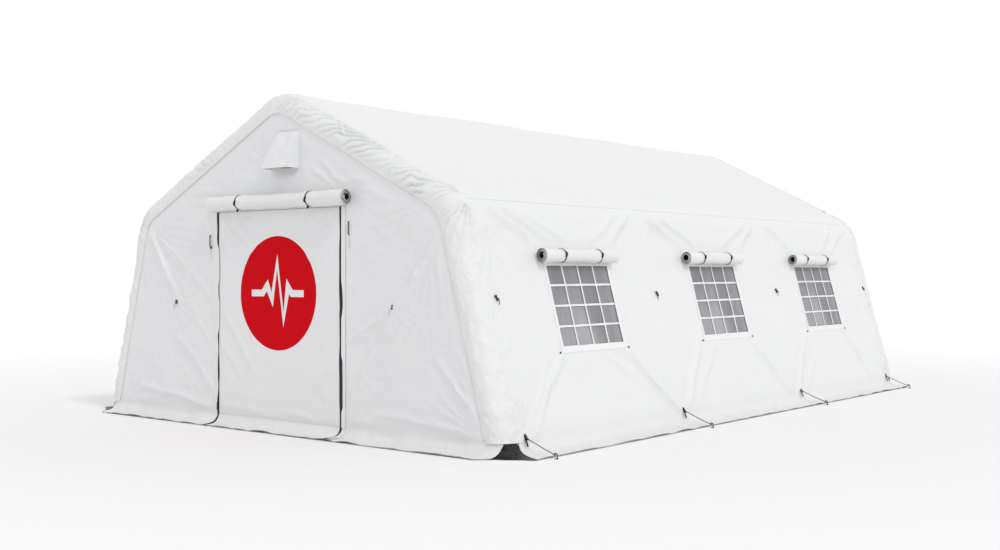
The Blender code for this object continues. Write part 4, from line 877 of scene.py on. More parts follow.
def gableLift(x, z, seed):
    lift = creases(x, z, gable["folds"]) + layers(x, z, seed, gable["layers"]) + fansOf(x, z, seed, gable["fans"])
    legX, legZ = gable["leg"] / np.linalg.norm(gable["leg"])
    toLeg = (gable["legX"] - np.abs(x)) * legZ + z * legX
    toRafter = (gable["rafterTop"] - gable["rafterFall"] * np.abs(x) - z) * gable["rafterTilt"]
    toSeam = np.minimum(toLeg, toRafter)
    toDoor = np.maximum(np.abs(x) - gable["doorHalf"], z - gable["doorHead"])
    middleX, middleZ, wide, tall = gable["ventFlat"]
    toVent = np.maximum(np.abs(x - middleX) - wide, np.abs(z - middleZ) - tall)
    fade = smoothStep(toSeam, 0.0, 0.10) * smoothStep(toDoor, 0.0, 0.09) * smoothStep(z, creaseZ, creaseZ + 0.07)
    return lift * fade * smoothStep(toVent, 0.0, 0.06) - 0.003 * (1 - smoothStep(toSeam, 0.0, 0.035))


def gableSurface(half, liftOf):
    # t is the height over the crease, and below it the length of skirt; past the foot the cloth wraps round it
    def surface(x, t):
        z = creaseZ + np.maximum(t, 0.0)
        _, reach, height, _ = skirtLie(gableSkirt, x, t, half, gable["skirt"], (0.40, 72))
        y = np.where(t < 0, reach, liftOf(x, z, gable["seed"] + 20 * half))
        turn = np.maximum(np.abs(x) - gable["footX"], 0.0) / gable["wrapRound"]
        r = archDepth + y * (1 - 1.2 * np.minimum(turn, 0.5))
        wrapped = np.sign(x) * (np.minimum(np.abs(x), gable["footX"]) + r * np.sin(turn))
        return np.stack([wrapped, -halfLength - r * np.cos(turn), np.where(t < 0, height, z)], axis=1)
    return surface


def buildGables():
    path = [(x, z - creaseZ) for x, z in seamPath(archDepth + 0.0003, creaseZ) if z > creaseZ + 0.03]
    flare = [(gable["footX"] + past, gableHem * share) for past, share in [(gable["wrapHem"], 1.0), *gable["wrap"]]]
    flare.append((gable["footX"] + gable["wrapTop"][0], gable["wrapTop"][1]))
    doorHalf, doorHead = gable["doorHalf"], gable["doorHead"] - creaseZ
    outline = [(doorHalf, gableHem)] + flare + path + [(-x, t) for x, t in flare[::-1]] + [
        (-doorHalf, gableHem), (-doorHalf, doorHead), (doorHalf, doorHead)]
    hole = [(x, z - creaseZ) for x, z in gable["ventHole"]]
    for half, word in enumerate(ends):
        piece = plateSheet("gableCover" + word, outline, [hole], gableSurface(half, gableLift), cover["cell"], half)
        give(piece, "gable", "tent", "gable_wall_" + word.lower(), slot="gable")


buildGables()
print("gables sewn")


# ---- doors, with a plain round panel on the front one

door = {"half": 0.699, "head": 1.688, "cell": 0.02, "stand": 0.0012, "calm": 0.20,
        "layers": [(ripple, 0.0028, 0.45, 3), (pinches, 0.0028, 0.28, 4)],
        "fans": [(0.72, 1.72, 30, 0.18, 0.65, 0.007, 5), (0.72, 0.05, 28, 0.18, 0.60, 0.007, 8)],
        "folds": [(-0.66, 1.66, -0.28, 1.30, 0.009, 0.026), (-0.52, 1.66, -0.22, 1.40, 0.008, 0.024),
                  (-0.68, 1.50, -0.42, 1.16, 0.007, 0.024), (-0.36, 1.66, -0.20, 1.50, 0.005, 0.020),
                  (0.66, 1.64, 0.36, 1.32, 0.009, 0.026), (0.55, 1.62, 0.30, 1.22, 0.008, 0.024),
                  (0.66, 1.48, 0.46, 1.18, 0.006, 0.022), (0.40, 1.64, 0.24, 1.42, 0.005, 0.020),
                  (-0.64, 0.88, -0.36, 0.58, 0.008, 0.026), (-0.66, 0.66, -0.44, 0.40, 0.006, 0.024),
                  (-0.50, 0.74, -0.30, 0.46, 0.005, 0.022), (0.66, 0.82, 0.47, 0.60, 0.007, 0.024),
                  (0.66, 0.60, 0.40, 0.30, 0.006, 0.026), (-0.60, 0.14, 0.10, 0.11, 0.006, 0.028),
                  (0.05, 0.15, 0.62, 0.12, 0.006, 0.028)]}
emblem = {"x": 0.011, "z": 1.051, "radius": 0.437, "line": 0.052, "cell": 0.018, "thick": 0.0008,
          "pulse": [(-0.30, 0.0), (-0.17, 0.0), (-0.115, 0.06), (-0.06, -0.05), (0.0, 0.24), (0.07, -0.20),
                    (0.12, 0.055), (0.165, 0.0), (0.30, 0.0)]}


def doorLift(x, z, seed):
    lift = creases(x, z, door["folds"]) + layers(x, z, seed, door["layers"]) + fansOf(x, z, seed, door["fans"])
    fade = smoothStep(door["half"] - np.abs(x), 0.0, 0.06) * smoothStep(door["head"] - z, 0.0, 0.08)
    fade = fade * smoothStep(z, creaseZ, creaseZ + 0.06)
    toEmblem = np.hypot(x - emblem["x"], z - emblem["z"]) - emblem["radius"]
    return lift * fade * (0.30 + 0.70 * smoothStep(toEmblem, 0.0, door["calm"])) + door["stand"]


def buildEmblem(surface):
    # A red round of the same cloth with a white pulse line, printed on the door
    def printed(name, outline, look, lift, flip=False):
        def place(x, t):
            return surface(x, t) - (0.0, lift, 0.0)
        piece = plateSheet(name, outline, [], place, emblem["cell"], thickness=emblem["thick"], flip=flip)
        return give(piece, look, "door_front", slot="gable")

    middle = np.array((emblem["x"], emblem["z"] - creaseZ))
    angles = np.linspace(0, math.tau, 97)[:-1]
    ring = list(middle + emblem["radius"] * np.stack([np.cos(angles), np.sin(angles)], axis=1))
    spots = middle + emblem["pulse"]
    normals = [np.array((a[1] - b[1], b[0] - a[0])) / np.linalg.norm(b - a) for a, b in zip(spots, spots[1:])]
    upper, lower = [], []
    for k, spot in enumerate(spots):
        before, after = normals[max(k - 1, 0)], normals[min(k, len(normals) - 1)]
        across = (before + after) / np.linalg.norm(before + after)
        width = emblem["line"] / 2 / max(0.45, across @ after)
        upper.append(spot + across * width)
        lower.append(spot - across * width)
    return [printed("redRound", ring, "emblem", 0.0010),
            printed("pulseLine", upper + lower[::-1], "line", 0.0018, flip=True)]


def buildDoors():
    xs = runOf(-door["half"], door["half"], cell=door["cell"])
    ts = np.concatenate([runOf(gableHem, -0.001, cell=wall["skirtCell"]),
                         runOf(0.0, door["head"] - creaseZ, cell=door["cell"])])
    for half, word in enumerate(ends):
        surface, body = gableSurface(half, doorLift), "door_" + word.lower()
        piece = gridSheet("doorPanel" + word, xs, ts, surface, half)
        give(piece, "door", body, body, slot="gable")
        [] if half else buildEmblem(surface)


buildDoors()
print("doors hung")


# ---- rolled cloth: a sheet that hangs from its sewn head, passes behind the roll and winds inwards

rolls = {"door": {"radius": 0.058, "length": 1.56, "turns": 5.6, "pitch": 0.0062, "straps": 0.81, "tail": 0.020},
         "blind": {"radius": 0.0525, "length": 0.93, "turns": 4.6, "pitch": 0.0066, "straps": 0.46, "tail": 0.0},
         "cloth": 0.0022, "tab": 0.03, "tabRows": 7, "steps": 26, "cell": 0.022, "darkWithin": 0.93,
         "doorX": 0.045, "doorHead": 1.695, "blindShift": 0.022, "blindHeight": 1.318}


def wallFrame(y, height):
    # Right wall's outer face: local X along +Y, Y up the slope, Z outwards
    out, up = Vector((math.cos(lean), 0.0, math.sin(lean))), Vector((-math.sin(lean), 0.0, math.cos(lean)))
    ways = Matrix((up.cross(out), up, out)).transposed().to_4x4()
    return Matrix.Translation((cover["footX"] - height * math.tan(lean), y, height)) @ ways


def gableFrame(x, height):
    return Matrix.Translation((x, -gableFace, height)) @ Matrix.Rotation(math.pi / 2, 4, "X")


def buildRoll(name, matrix, kind, half, seed, body):
    size = rolls[kind]
    radius, reach, back = size["radius"], size["length"] / 2, rolls["cloth"]
    turns = int(size["turns"] * rolls["steps"])
    wound = np.arange(turns + 1) / rolls["steps"]
    spiral = [(back + radius + r * math.cos(a), r * math.sin(a))
              for a, r in zip(math.pi + math.tau * wound, radius - size["pitch"] * wound)]
    profile = np.array([(back, h) for h in np.linspace(radius + rolls["tab"], 0.006, rolls["tabRows"])] + spiral)
    along = lengthsAlong(profile)
    tab = np.zeros(rolls["tabRows"])
    inRoll, depthIn = np.concatenate([tab, np.ones(turns + 1)]), np.concatenate([tab, wound / wound[-1]])
    centre = back + radius

    def surface(u, v):
        px, pz, weight, inward = (np.interp(v, along, column) for column in (*profile.T, inRoll, depthIn))
        u = u * (0.955 + 0.045 * weight)
        toStrap = distanceTo(u, (-size["straps"] / 2, size["straps"] / 2))
        swell = 0.035 * ripple(u, v * 0.5, 0.30, seed) + 0.02 * ripple(u, v, 0.09, seed + 1)
        swell = np.clip(swell - 0.05 * np.exp(-(toStrap / 0.03) ** 2), -0.09, 0.055) * weight * (1 - 0.4 * inward)
        px = centre + (px - centre) * (1 + np.where(px > centre, swell, swell * 0.2))
        slip = 0.010 * np.sin(inward * 9 + seed) * inward * np.sign(u) * smoothStep(np.abs(u), reach - 0.06, reach)
        across = np.clip(u + slip, -reach - 0.012, reach + 0.012)
        return carried(matrix, np.stack([across, pz * (1 + swell * weight), px], axis=1))

    xs, vs = runOf(-reach, reach, cell=rolls["cell"]), runOf(*along, cell=1.0)
    piece = gridSheet(name, xs, vs, surface, half, thickness=rolls["cloth"], flip=True)
    give(piece, "rolled", body, body, slot="rolled_cloth")
    # Painted shade on the roll's inner faces
    darkenInside(piece, carried(matrix, [(0.0, 0.0, centre)], half)[0], radius * rolls["darkWithin"])
    straps = [buildStrap(f"{name}Strap{number}", matrix, x, centre, radius, size["tail"], half, body)
              for number, x in enumerate((-size["straps"] / 2, size["straps"] / 2), start=1)]


def darkenInside(piece, axisPoint, within):
    # Painted shade inside the roll: the faces that look towards the roll's axis get a near-black material
    piece.data.materials.append(looks["rollInside"])
    along = 0 if piece.name.startswith("door") else 1
    middles, normals = np.empty(len(piece.data.polygons) * 3), np.empty(len(piece.data.polygons) * 3)
    piece.data.polygons.foreach_get("center", middles)
    piece.data.polygons.foreach_get("normal", normals)
    away = middles.reshape(-1, 3) - axisPoint
    away[:, along] = 0.0
    far = np.linalg.norm(away, axis=1)
    inward = ((away * normals.reshape(-1, 3)).sum(1) < -0.3 * far) & (far < within)
    piece.data.polygons.foreach_set("material_index", inward.astype(np.int32))


def corners(wide, thick):
    # A strip's section, from half its width and half its thickness
    return (-wide, -thick), (wide, -thick), (wide, thick), (-wide, thick)


def buildStrap(name, matrix, x, centre, radius, tail, half, body):
    # Webbing round the roll, its slanting toggle in front, and on a door roll a tail below
    angles = np.linspace(-math.pi, math.pi, 73)
    r = radius * 0.985
    rows = []
    for a, f in zip(angles, np.exp(-((angles + 0.10) / 0.34) ** 4)):
        wide, thick, slant = 0.0050 + 0.0030 * f, 0.0022 + 0.0070 * f, 0.010 * np.clip((a + 0.1) / 0.4, -1, 1) * f
        for dx, dr in ((-wide, 0.0), (wide, 0.0), (wide * 0.7, thick), (-wide * 0.7, thick)):
            rows.append((x + dx + slant, (r + dr) * math.sin(a), centre + (r + dr) * math.cos(a)))
    uv = [(across, angle * radius) for (across, _, _), angle in zip(rows, np.repeat(angles, 4))]
    faces = ringFaces(len(angles), 4, caps=False)
    if tail:
        low, first = -math.pi / 3, len(rows)
        start = np.array((x + 0.004, (r + 0.002) * math.sin(low), centre + (r + 0.002) * math.cos(low)))
        stops = [(0.0, 0.005, 0.001), (0.2 * tail, 0.005, 0.0012), (0.35 * tail, 0.008, 0.004), (tail, 0.0085, 0.004),
                 (tail + 0.002, 0.004, 0.0015)]
        for k, (drop, wide, deep) in enumerate(stops):
            rows += [tuple(start + (dx + 0.0006 * k, -drop, dz + 0.0015 * k)) for dx, dz in corners(wide, deep)]
        uv += [row[:2] for row in rows[first:]]
        faces += ringFaces(len(stops), 4, first)
    rows = np.array(rows)
    rows[:, 2] = np.maximum(rows[:, 2], 0.0008)
    piece = mendNormals(meshPiece(name, carried(matrix, rows, half), faces, uv), merge=0.0002)
    return give(piece, "blackWeb", body, slot="webbing")


for half, word in enumerate(ends):
    matrix = gableFrame(rolls["doorX"], rolls["doorHead"] + rolls["door"]["radius"])
    buildRoll("doorRoll" + word, matrix, "door", half, 5 + half, "door_roll_" + word.lower())
for half, word, number, label, y in onWalls(windowPlaces):
    matrix = wallFrame(y + (rolls["blindShift"] if half else -rolls["blindShift"]), rolls["blindHeight"])
    body = f"blind_roll_{word.lower()}_{label}"
    buildRoll(f"blindRoll{word}{label}", matrix, "blind", half, 20 + 3 * number + half, body)
print("rolls wound")


# ---- windows: net, crossed tapes and a sewn frame

window = {"tape": 0.0155, "frame": 0.016, "sill": 0.018, "lap": 0.013, "sillLap": 0.030, "cells": 4,
          "strip": 0.0012, "tapeStand": -0.0035, "frameStand": 0.0004,
          "netBack": 0.006, "netBow": 0.004, "netOver": 0.02, "netCell": 0.03, "netThick": 0.0008,
          "stud": 0.008, "studPlace": (0.040, 0.026, 0.0035)}


def ribbons(name, runs, matrix, half, stand, thickness):
    # Flat strips in one mesh, each run (x0, y0, x1, y1, width) in a face's own plane
    points, faces, uv = [], [], []
    for number, (x0, y0, x1, y1, width) in enumerate(runs):
        length = math.hypot(x1 - x0, y1 - y0)
        ux, uy = (x1 - x0) / length, (y1 - y0) / length
        steps = max(2, round(length / 0.04))
        first, level = len(points), stand + 0.0004 * (number % 2)
        for t in (k / steps * length for k in range(steps + 1)):
            for side in (-1, 1):
                across = side * width / 2 + 0.0008 * math.sin(t * 23 + number * 2.1 + side)
                points.append((x0 + ux * t - uy * across, y0 + uy * t + ux * across,
                               level + 0.0006 * math.sin(t * 31 + number)))
                uv.append((t, side * width / 2))
        faces += [(a, a + 2, a + 3, a + 1) for a in range(first, first + 2 * steps, 2)]
    return thicken(meshPiece(name, carried(matrix, points, half), faces, uv), thickness, offset=1.0)


def placePoints(piece, shift, matrix, half):
    # A finished primitive moved from the origin to its place on a face
    points = np.array([vertex.co for vertex in piece.data.vertices]) + shift
    piece.data.vertices.foreach_set("co", carried(matrix, points, half).ravel())
    return piece


def buildWindow(half, word, label, y):
    matrix = wallFrame(y, wall["windowMiddle"])
    w, h = wall["windowWide"] / 2, wall["windowTall"] / 2
    tape, gap, sill, lap, cells = (window[size] for size in ("tape", "frame", "sill", "lap", "cells"))

    def surface(u, v):
        bow = window["netBow"] * np.cos(math.pi * u / (2 * w)) * np.cos(math.pi * v / (2 * h))
        bow += 0.0008 * ripple(u, v, 0.2, 7 + label)
        return carried(matrix, np.stack([u, v, -window["netBack"] - bow], axis=1))

    wide, tall, cell = w + window["netOver"], h + window["netOver"], window["netCell"]
    net = gridSheet(f"windowNet{word}{label}", runOf(-wide, wide, cell=cell), runOf(-tall, tall, cell=cell), surface,
                    half, thickness=window["netThick"])
    give(net, "net", "tent", f"window_{word.lower()}_{label}", slot="net")
    xs = [-w + gap - tape / 2 + (2 * (w - gap) + tape) / cells * k for k in range(1, cells)]
    zs = [-h + sill - tape / 2 + (2 * h - gap - sill + tape) / cells * k for k in range(1, cells)]
    crossed = [(x, -h + 0.01, x, h - 0.005, tape) for x in xs] + [(-w + 0.005, z, w - 0.005, z, tape) for z in zs]
    inset, low, deep = (gap - lap) / 2, -h - window["sillLap"], sill + window["sillLap"]
    border = [(x, low, x, h + lap, gap + lap) for x in (-w + inset, w - inset)]
    border += [(-w - lap, z, w + lap, z, wide) for z, wide in ((low + deep / 2, deep), (h - inset, gap + lap))]
    tapes = ribbons(f"windowTapes{word}{label}", crossed, matrix, half, window["tapeStand"], window["strip"])
    border = ribbons(f"windowFrame{word}{label}", border, matrix, half, window["frameStand"], window["strip"])
    for strips in (tapes, border):
        give(strips, "tape", "tent", slot="cover")
    studs, (out, down, stand) = [], window["studPlace"]
    for way in (-1, 1):
        deselect()
        bpy.ops.mesh.primitive_uv_sphere_add(segments=14, ring_count=8, radius=window["stud"])
        stud = bpy.context.object
        bpy.ops.transform.resize(value=(1.0, 1.0, 0.55))
        studs.append(placePoints(settle(stud), (way * (w + out), -h - down, stand), matrix, half))
    studs = joinAll(f"windowStuds{word}{label}", studs)
    give(studs, "blackPlastic", "tent", slot="webbing")


for half, word, _, label, y in onWalls(windowPlaces):
    buildWindow(half, word, label, y)
print("windows sewn")


# ---- vent hoods

vent = {"x": 0.10, "top": 2.275, "wide": 0.30, "tall": 0.28, "reach": 0.125, "topReach": 0.012, "cheek": 0.10,
        "netInset": 0.10, "net": 0.0012,
        "layers": [(ripple, 0.006, 0.13, 3, (1.0, 1.8)), (pinches, 0.005, 0.10, 4, (0.8, 2.0))]}


def buildVent(half, word):
    matrix = gableFrame(vent["x"], vent["top"] - vent["tall"] / 2)
    w, h, cheek = vent["wide"] / 2, vent["tall"] / 2, vent["cheek"]

    def surface(u, v):
        # u runs from the left cheek's back, over the flap, to the right cheek's back
        drop = (h - v) / (2 * h)
        over = np.clip(np.abs(u) - w, 0.0, cheek) / cheek
        reach = vent["topReach"] + (vent["reach"] - vent["topReach"]) * drop
        crumple = layers(u, v, half, vent["layers"]) * smoothStep(h - v, 0.0, 0.06)
        out = (reach + 0.0045 + 0.8 * crumple) * (1 - over) - 0.002
        narrow = np.where(u < 0, 0.62, 0.10) * (1 - drop) * np.where(np.abs(u) > w, 0.25 + 0.75 * (1 - over), 1.0)
        return carried(matrix, np.stack([np.clip(u, -w, w) * (1 - narrow), v, out], axis=1))

    def back(u, v):
        return carried(matrix, np.stack([u, v, np.full_like(u, vent["net"])], axis=1))

    cheeks = [runOf(*sorted((way * w, way * (w + cheek))), cell=0.014) for way in (-1, 1)]
    us = np.concatenate([cheeks[0], runOf(-w, w, cell=0.012)[1:], cheeks[1][1:]])
    hood = gridSheet("ventHood" + word, us, runOf(-h, h, cell=0.013), surface, half)
    give(hood, "gable", "tent", "vent_" + word.lower(), slot="gable")
    net = gridSheet("ventNet" + word, runOf(-w + vent["netInset"], w - 0.006, cell=0.03),
                    runOf(-h + 0.004, h - 0.008, cell=0.03), back, half, thickness=window["netThick"])
    give(net, "ventNet", "tent", slot="net")


for half, word in enumerate(ends):
    buildVent(half, word)
print("vents sewn")


# ---- zips: black tape down each side of a door and over its skirt, with teeth down the middle, and a sewn flap

zips = {"x": 0.7114, "wide": 0.030, "stand": 0.0022, "bead": 0.0022, "thick": 0.0012, "top": 1.69, "flapWide": 0.045,
        "lines": [0.0025, 0.0045, 0.008, 0.0125, 0.015],
        "flap": (0.004, -0.014, 0.034), "frontLeft": (0.041, 0.008, 0.0585),  # covered, opened, flat width
        "leftOpening": [(0.0, 1.0), (0.20, 0.9), (0.30, 0.45), (0.45, 0.8), (0.58, 0.45), (0.70, 0.7), (0.78, 0.1),
                        (0.98, 0.0), (1.02, 0.4), (1.12, 0.4), (1.16, 0.0), (1.38, 0.05), (1.45, 0.9), (1.69, 1.0)]}


def beside(half, way, x, t, lift):
    # Points beside the door, lifted off the wall, and off the ground below the crease
    points = gableSurface(half, doorLift)(np.full_like(t, way * door["half"]), t)
    points[:, 0] = x
    points[:, 1] -= np.where(t < 0, 0.0, lift)
    points[:, 2] += np.where(t < 0, lift, 0.0)
    return points


def buildZip(ts, word, side, way, half):
    def surface(u, t):
        sway = 0.0025 * np.sin(t * 9 + way) + 0.0015 * np.sin(t * 23)
        points = beside(half, way, way * zips["x"] + u + sway * smoothStep(1.6 - t, 0.0, 0.2), t, zips["stand"])
        points[:, 1] -= np.where(t < 0, 0.0, zips["bead"] * np.exp(-(u / 0.0032) ** 2))
        return points

    us = np.array([-x for x in zips["lines"][::-1]] + [0.0] + zips["lines"])
    tape = gridSheet(f"zipTape{word}{side}", us, ts, surface, half, thickness=zips["thick"])
    give(tape, "blackWeb", "tent", f"door_zip_{word.lower()}_{side.lower()}", slot="zip")


def buildZipFlap(ts, word, side, way, half):
    # A strip sewn beside the zip, that gapes in places; it covers most of the front's left zip
    frontLeft = (half, way) == (0, -1)
    covered, opened, flatWide = zips["frontLeft" if frontLeft else "flap"]

    def surface(u, t):
        if frontLeft:
            gape = np.interp(t + creaseZ, *zip(*zips["leftOpening"]))
        else:
            gape = smoothStep(ripple(t, 0 * t, 0.42, 90 + 2 * half + way), -0.35, 0.55)
        share = (u + zips["flapWide"]) / zips["flapWide"]
        edge = covered + (opened - covered) * gape
        lift = 0.0042 + 0.004 * share * (1 - gape) + 0.003 * share * gape * np.sin(t * 17) ** 2
        return beside(half, way, way * (zips["x"] + zips["wide"] / 2 - share * edge + (1 - share) * 0.034), t, lift)

    us = np.linspace(-zips["flapWide"], 0.0, 5)
    flap = gridSheet(f"zipFlap{word}{side}", us, ts, surface, half, thickness=zips["thick"], flip=way > 0)
    give(flap, "gable", "tent", slot="gable")


def buildZips():
    ts = np.concatenate([runOf(gableHem, -0.001, cell=0.015), runOf(0.0, zips["top"] - creaseZ, cell=door["cell"])])
    for half, word in enumerate(ends):
        for side, way in (("Left", -1), ("Right", 1)):
            buildZip(ts, word, side, way, half)
            buildZipFlap(ts, word, side, way, half)


buildZips()
print("zips sewn")


# ---- inflated arches and purlins

airFrame = {"arch": cover["tube"] - 0.0025, "low": 0.2, "archRows": 120, "legRows": 5, "ground": 0.0006, "around": 20,
            "purlin": 0.097, "purlinDepth": 0.105, "purlinEnd": 0.06, "purlinRows": 8, "purlinAround": 18}
archFootX = cover["footX"] - archDepth / math.cos(lean)


def buildTube(name, path, radius, node, around):
    # An inflated tube with closed ends, flattened where it meets the ground
    tangent = unitTangents(path)
    side = np.array((0.0, 1.0, 0.0)) if abs(tangent[0][1]) < 0.5 else np.array((1.0, 0.0, 0.0))
    other = np.cross(tangent, side)
    other /= np.linalg.norm(other, axis=1)[:, None]
    angles = np.linspace(0, math.tau, around + 1)[:-1]
    ring = np.cos(angles)[:, None], np.sin(angles)[:, None]
    points = np.concatenate([p + radius * (ring[0] * side + ring[1] * o) for p, o in zip(path, other)])
    points[:, 2] = np.maximum(points[:, 2], airFrame["ground"])
    uv = np.stack([np.repeat(lengthsAlong(path), around), np.tile(angles * radius, len(path))], axis=1)
    give(mendNormals(meshPiece(name, points, ringFaces(len(path), around), uv)), "tube", "tent", node, slot="air_tube")


def buildAirFrame():
    low = heightToS(airFrame["low"])
    for name, y in zip(("front", "second", "third", "rear"), archPlaces):
        x, z, _, _ = sectionAt(np.linspace(low, wholeS - low, airFrame["archRows"]), archDepth)
        down = np.linspace(0.001, z[0], airFrame["legRows"] + 1)[:-1]
        legX = archFootX - down * math.tan(lean)
        xs, zs = np.concatenate([legX, x, -legX[::-1]]), np.concatenate([down, z, down[::-1]])
        path = np.stack([xs, np.full(len(xs), y), zs], axis=1)
        buildTube("airArch" + name.capitalize(), path, airFrame["arch"], "arch_" + name, airFrame["around"])
    (eaveX, ridgeX), (eaveZ, ridgeZ), _, _ = sectionAt(np.array([eaveS, topS]), airFrame["purlinDepth"])
    for number, middle in enumerate(bayPlaces, start=1):
        for word, node, x, z in (("Ridge", "ridge", ridgeX, ridgeZ), ("LeftEave", "left_eave", -eaveX, eaveZ),
                                 ("RightEave", "right_eave", eaveX, eaveZ)):
            ys = middle + np.linspace(-1, 1, airFrame["purlinRows"]) * (cover["bay"] / 2 - airFrame["purlinEnd"])
            path = np.stack([np.full(len(ys), x), ys, np.full(len(ys), z)], axis=1)
            buildTube(f"airPurlin{word}{number}", path, airFrame["purlin"], f"{node}_purlin_{number}",
                      airFrame["purlinAround"])


buildAirFrame()
print("air frame raised")


# ---- black boots on the arches' feet, and the linings that show at the tent's corners

boot = {"radius": 0.145, "around": 60, "thick": 0.0015, "chord": 0.2412, "chordAngle": 57.8, "mostSpread": 1.15,
        "heights": [0.0, 0.010, 0.022, 0.034, 0.05, 0.07, 0.09, 0.11, 0.125, 0.135],
        "bulges": [0.012, 0.013, 0.008, 0.002, -0.001, 0.001, -0.001, 0.0, 0.002, -0.003],
        "lining": {"under": 0.004, "top": 0.045, "from": -10, "to": 94, "columns": 40, "rows": 22, "thick": 0.0012,
                   "stand": 0.0025, "flat": (0.36, 0.218)}}


def buildBoots():
    heights = np.array(boot["heights"])
    radii = boot["radius"] + np.array(boot["bulges"])
    k, a = np.meshgrid(np.arange(len(heights)), np.linspace(0, math.tau, boot["around"] + 1)[:-1], indexing="ij")
    k, a = k.ravel(), a.ravel()
    for side, word in ((1, "Right"), (-1, "Left")):
        for number, y in enumerate(archPlaces, start=1):
            r = radii[k] + 0.0018 * ripple(a * 0.15, heights[k], 0.05, 50 + number)
            x = side * (archFootX - heights[k] * math.tan(lean)) + r * np.cos(a)
            points = np.stack([x, y + r * np.sin(a), heights[k] + 0.0008], axis=1)
            faces = ringFaces(len(heights), boot["around"], caps=False)
            uv = np.stack([a * boot["radius"], heights[k]], axis=1)
            piece = thicken(meshPiece(f"archBoot{word}{number}", points, faces, uv), boot["thick"])
            give(piece, "boot", "tent", slot="air_tube")
            if number in (1, 4):
                buildCornerLining(word, side, -1 if number == 1 else 1)


def buildCornerLining(word, side, end):
    # Black skirt lining that flares from the corner arch's foot out over the ground
    lining = boot["lining"]

    def surface(u, v):
        # u is the angle round the foot from straight out of the side; v runs down and outwards from the crease
        ground = boot["chord"] / np.cos(u - math.radians(boot["chordAngle"]))
        spread = np.minimum((ground - archDepth) / skirt["gableReach"], boot["mostSpread"])
        out, rise, _, _ = skirtAt(gableSkirt, np.minimum(-v, 0.0))
        z = np.where(v > 0, np.maximum(rise - lining["under"], 0.0008), creaseZ - lining["under"] - v)
        leg = boot["radius"] + lining["stand"]
        hidden = (1 - smoothStep(v, 0.0, 0.06)) * (1 - smoothStep(u, 0.71, 0.84))
        r = leg + (bandRadius(u) - lining["under"] - leg) * hidden
        r = r + out * spread * (1 + 0.05 * np.sin(u * 11 + end)) + 0.0012 * ripple(u * 0.15, v, 0.06, 57)
        x = side * (archFootX - z * math.tan(lean) + r * np.cos(u))
        return np.stack([x, end * (halfLength + r * np.sin(u)), z], axis=1)

    us = np.linspace(math.radians(lining["from"]), math.radians(lining["to"]), lining["columns"])
    vs = np.linspace(-lining["top"], -gableHem, lining["rows"])
    piece = gridSheet(f"cornerLining{word}{'Front' if end < 0 else 'Rear'}", us, vs, surface,
                      thickness=lining["thick"], flip=side * end > 0)
    give(piece, "boot", "tent", slot="air_tube")


buildBoots()
print("boots fitted")


# ---- hems bound in black, a dark strip that also stands in for the shade under the skirt's edge, and piping along the gables' seams

trim = {"binding": 0.0042, "under": 0.0008, "lift": 0.0011, "thick": 0.0008, "cell": 0.03,
        "piping": 0.0042, "pipingDepth": 0.0035, "pipingLow": 0.10, "pipingOut": 0.0012, "around": 8, "rows": 260}


# A black binding along a hem; its dark strip stands partly for the shade under the hem's edge
def buildHem(name, surface, half, body, *stops):
    def edge(u, v):
        return surface(u, v) + (0.0, 0.0, trim["lift"])
    hem = sideHem if name.startswith("hemSide") else gableHem
    rows = np.array([hem - trim["under"], hem + trim["binding"] / 2, hem + trim["binding"]])
    piece = gridSheet(name, runOf(*sorted(stops), cell=trim["cell"]), rows, edge, half, thickness=trim["thick"])
    give(piece, "blackWeb", body, slot="webbing")


def buildPiping(half, word):
    path = np.array(seamPath(archDepth + trim["pipingDepth"], trim["pipingLow"], trim["rows"]))
    points, uv, along, around = [], [], 0.0, trim["around"]
    for k, (x, z) in enumerate(path):
        tx, tz = path[min(k + 1, len(path) - 1)] - path[max(k - 1, 0)]
        size = math.hypot(tx, tz)
        along += size / 2
        for a in (math.tau * c / around for c in range(around)):
            out, deep = trim["piping"] * math.cos(a), trim["piping"] * math.sin(a)
            points.append((x - tz / size * out, -gableFace - trim["pipingOut"] - deep, z + tx / size * out))
            uv.append((along, trim["piping"] * a))
    piece = mendNormals(meshPiece("gablePiping" + word, turned(points, half), ringFaces(len(path), around), uv))
    give(piece, "piping", "tent", slot="cover")


for half, word in enumerate(walls):
    buildHem("hemSide" + word, sideSurface(half), half, "tent", -halfLength, halfLength)
for half, word in enumerate(ends):
    for way, side in ((-1, "Left"), (1, "Right")):
        buildHem(f"hemGable{word}{side}", gableSurface(half, gableLift), half, "tent", way * gable["doorHalf"],
                 way * (gable["footX"] + gable["wrapHem"]))
    buildHem("hemDoor" + word, gableSurface(half, doorLift), half, "door_" + word.lower(), -door["half"], door["half"])
    buildPiping(half, word)
print("hems bound")


# ---- cords: the eight hold-downs, the twelve toggles' tails and the hooks beside the doors


def smoothRun(points, count):
    # A Catmull-Rom curve through a few points
    points = [np.array(p, float) for p in points]
    points = [2 * points[0] - points[1], *points, 2 * points[-1] - points[-2]]
    run, parts = [], len(points) - 3
    for k in range(count):
        t = k / (count - 1) * parts
        i = min(int(t), parts - 1)
        t -= i
        a, b, c, d = points[i:i + 4]
        point = 2 * b + (c - a) * t + (2 * a - 5 * b + 4 * c - d) * t ** 2 + (3 * b - a - 3 * c + d) * t ** 3
        run.append(0.5 * point)
    return np.array(run)


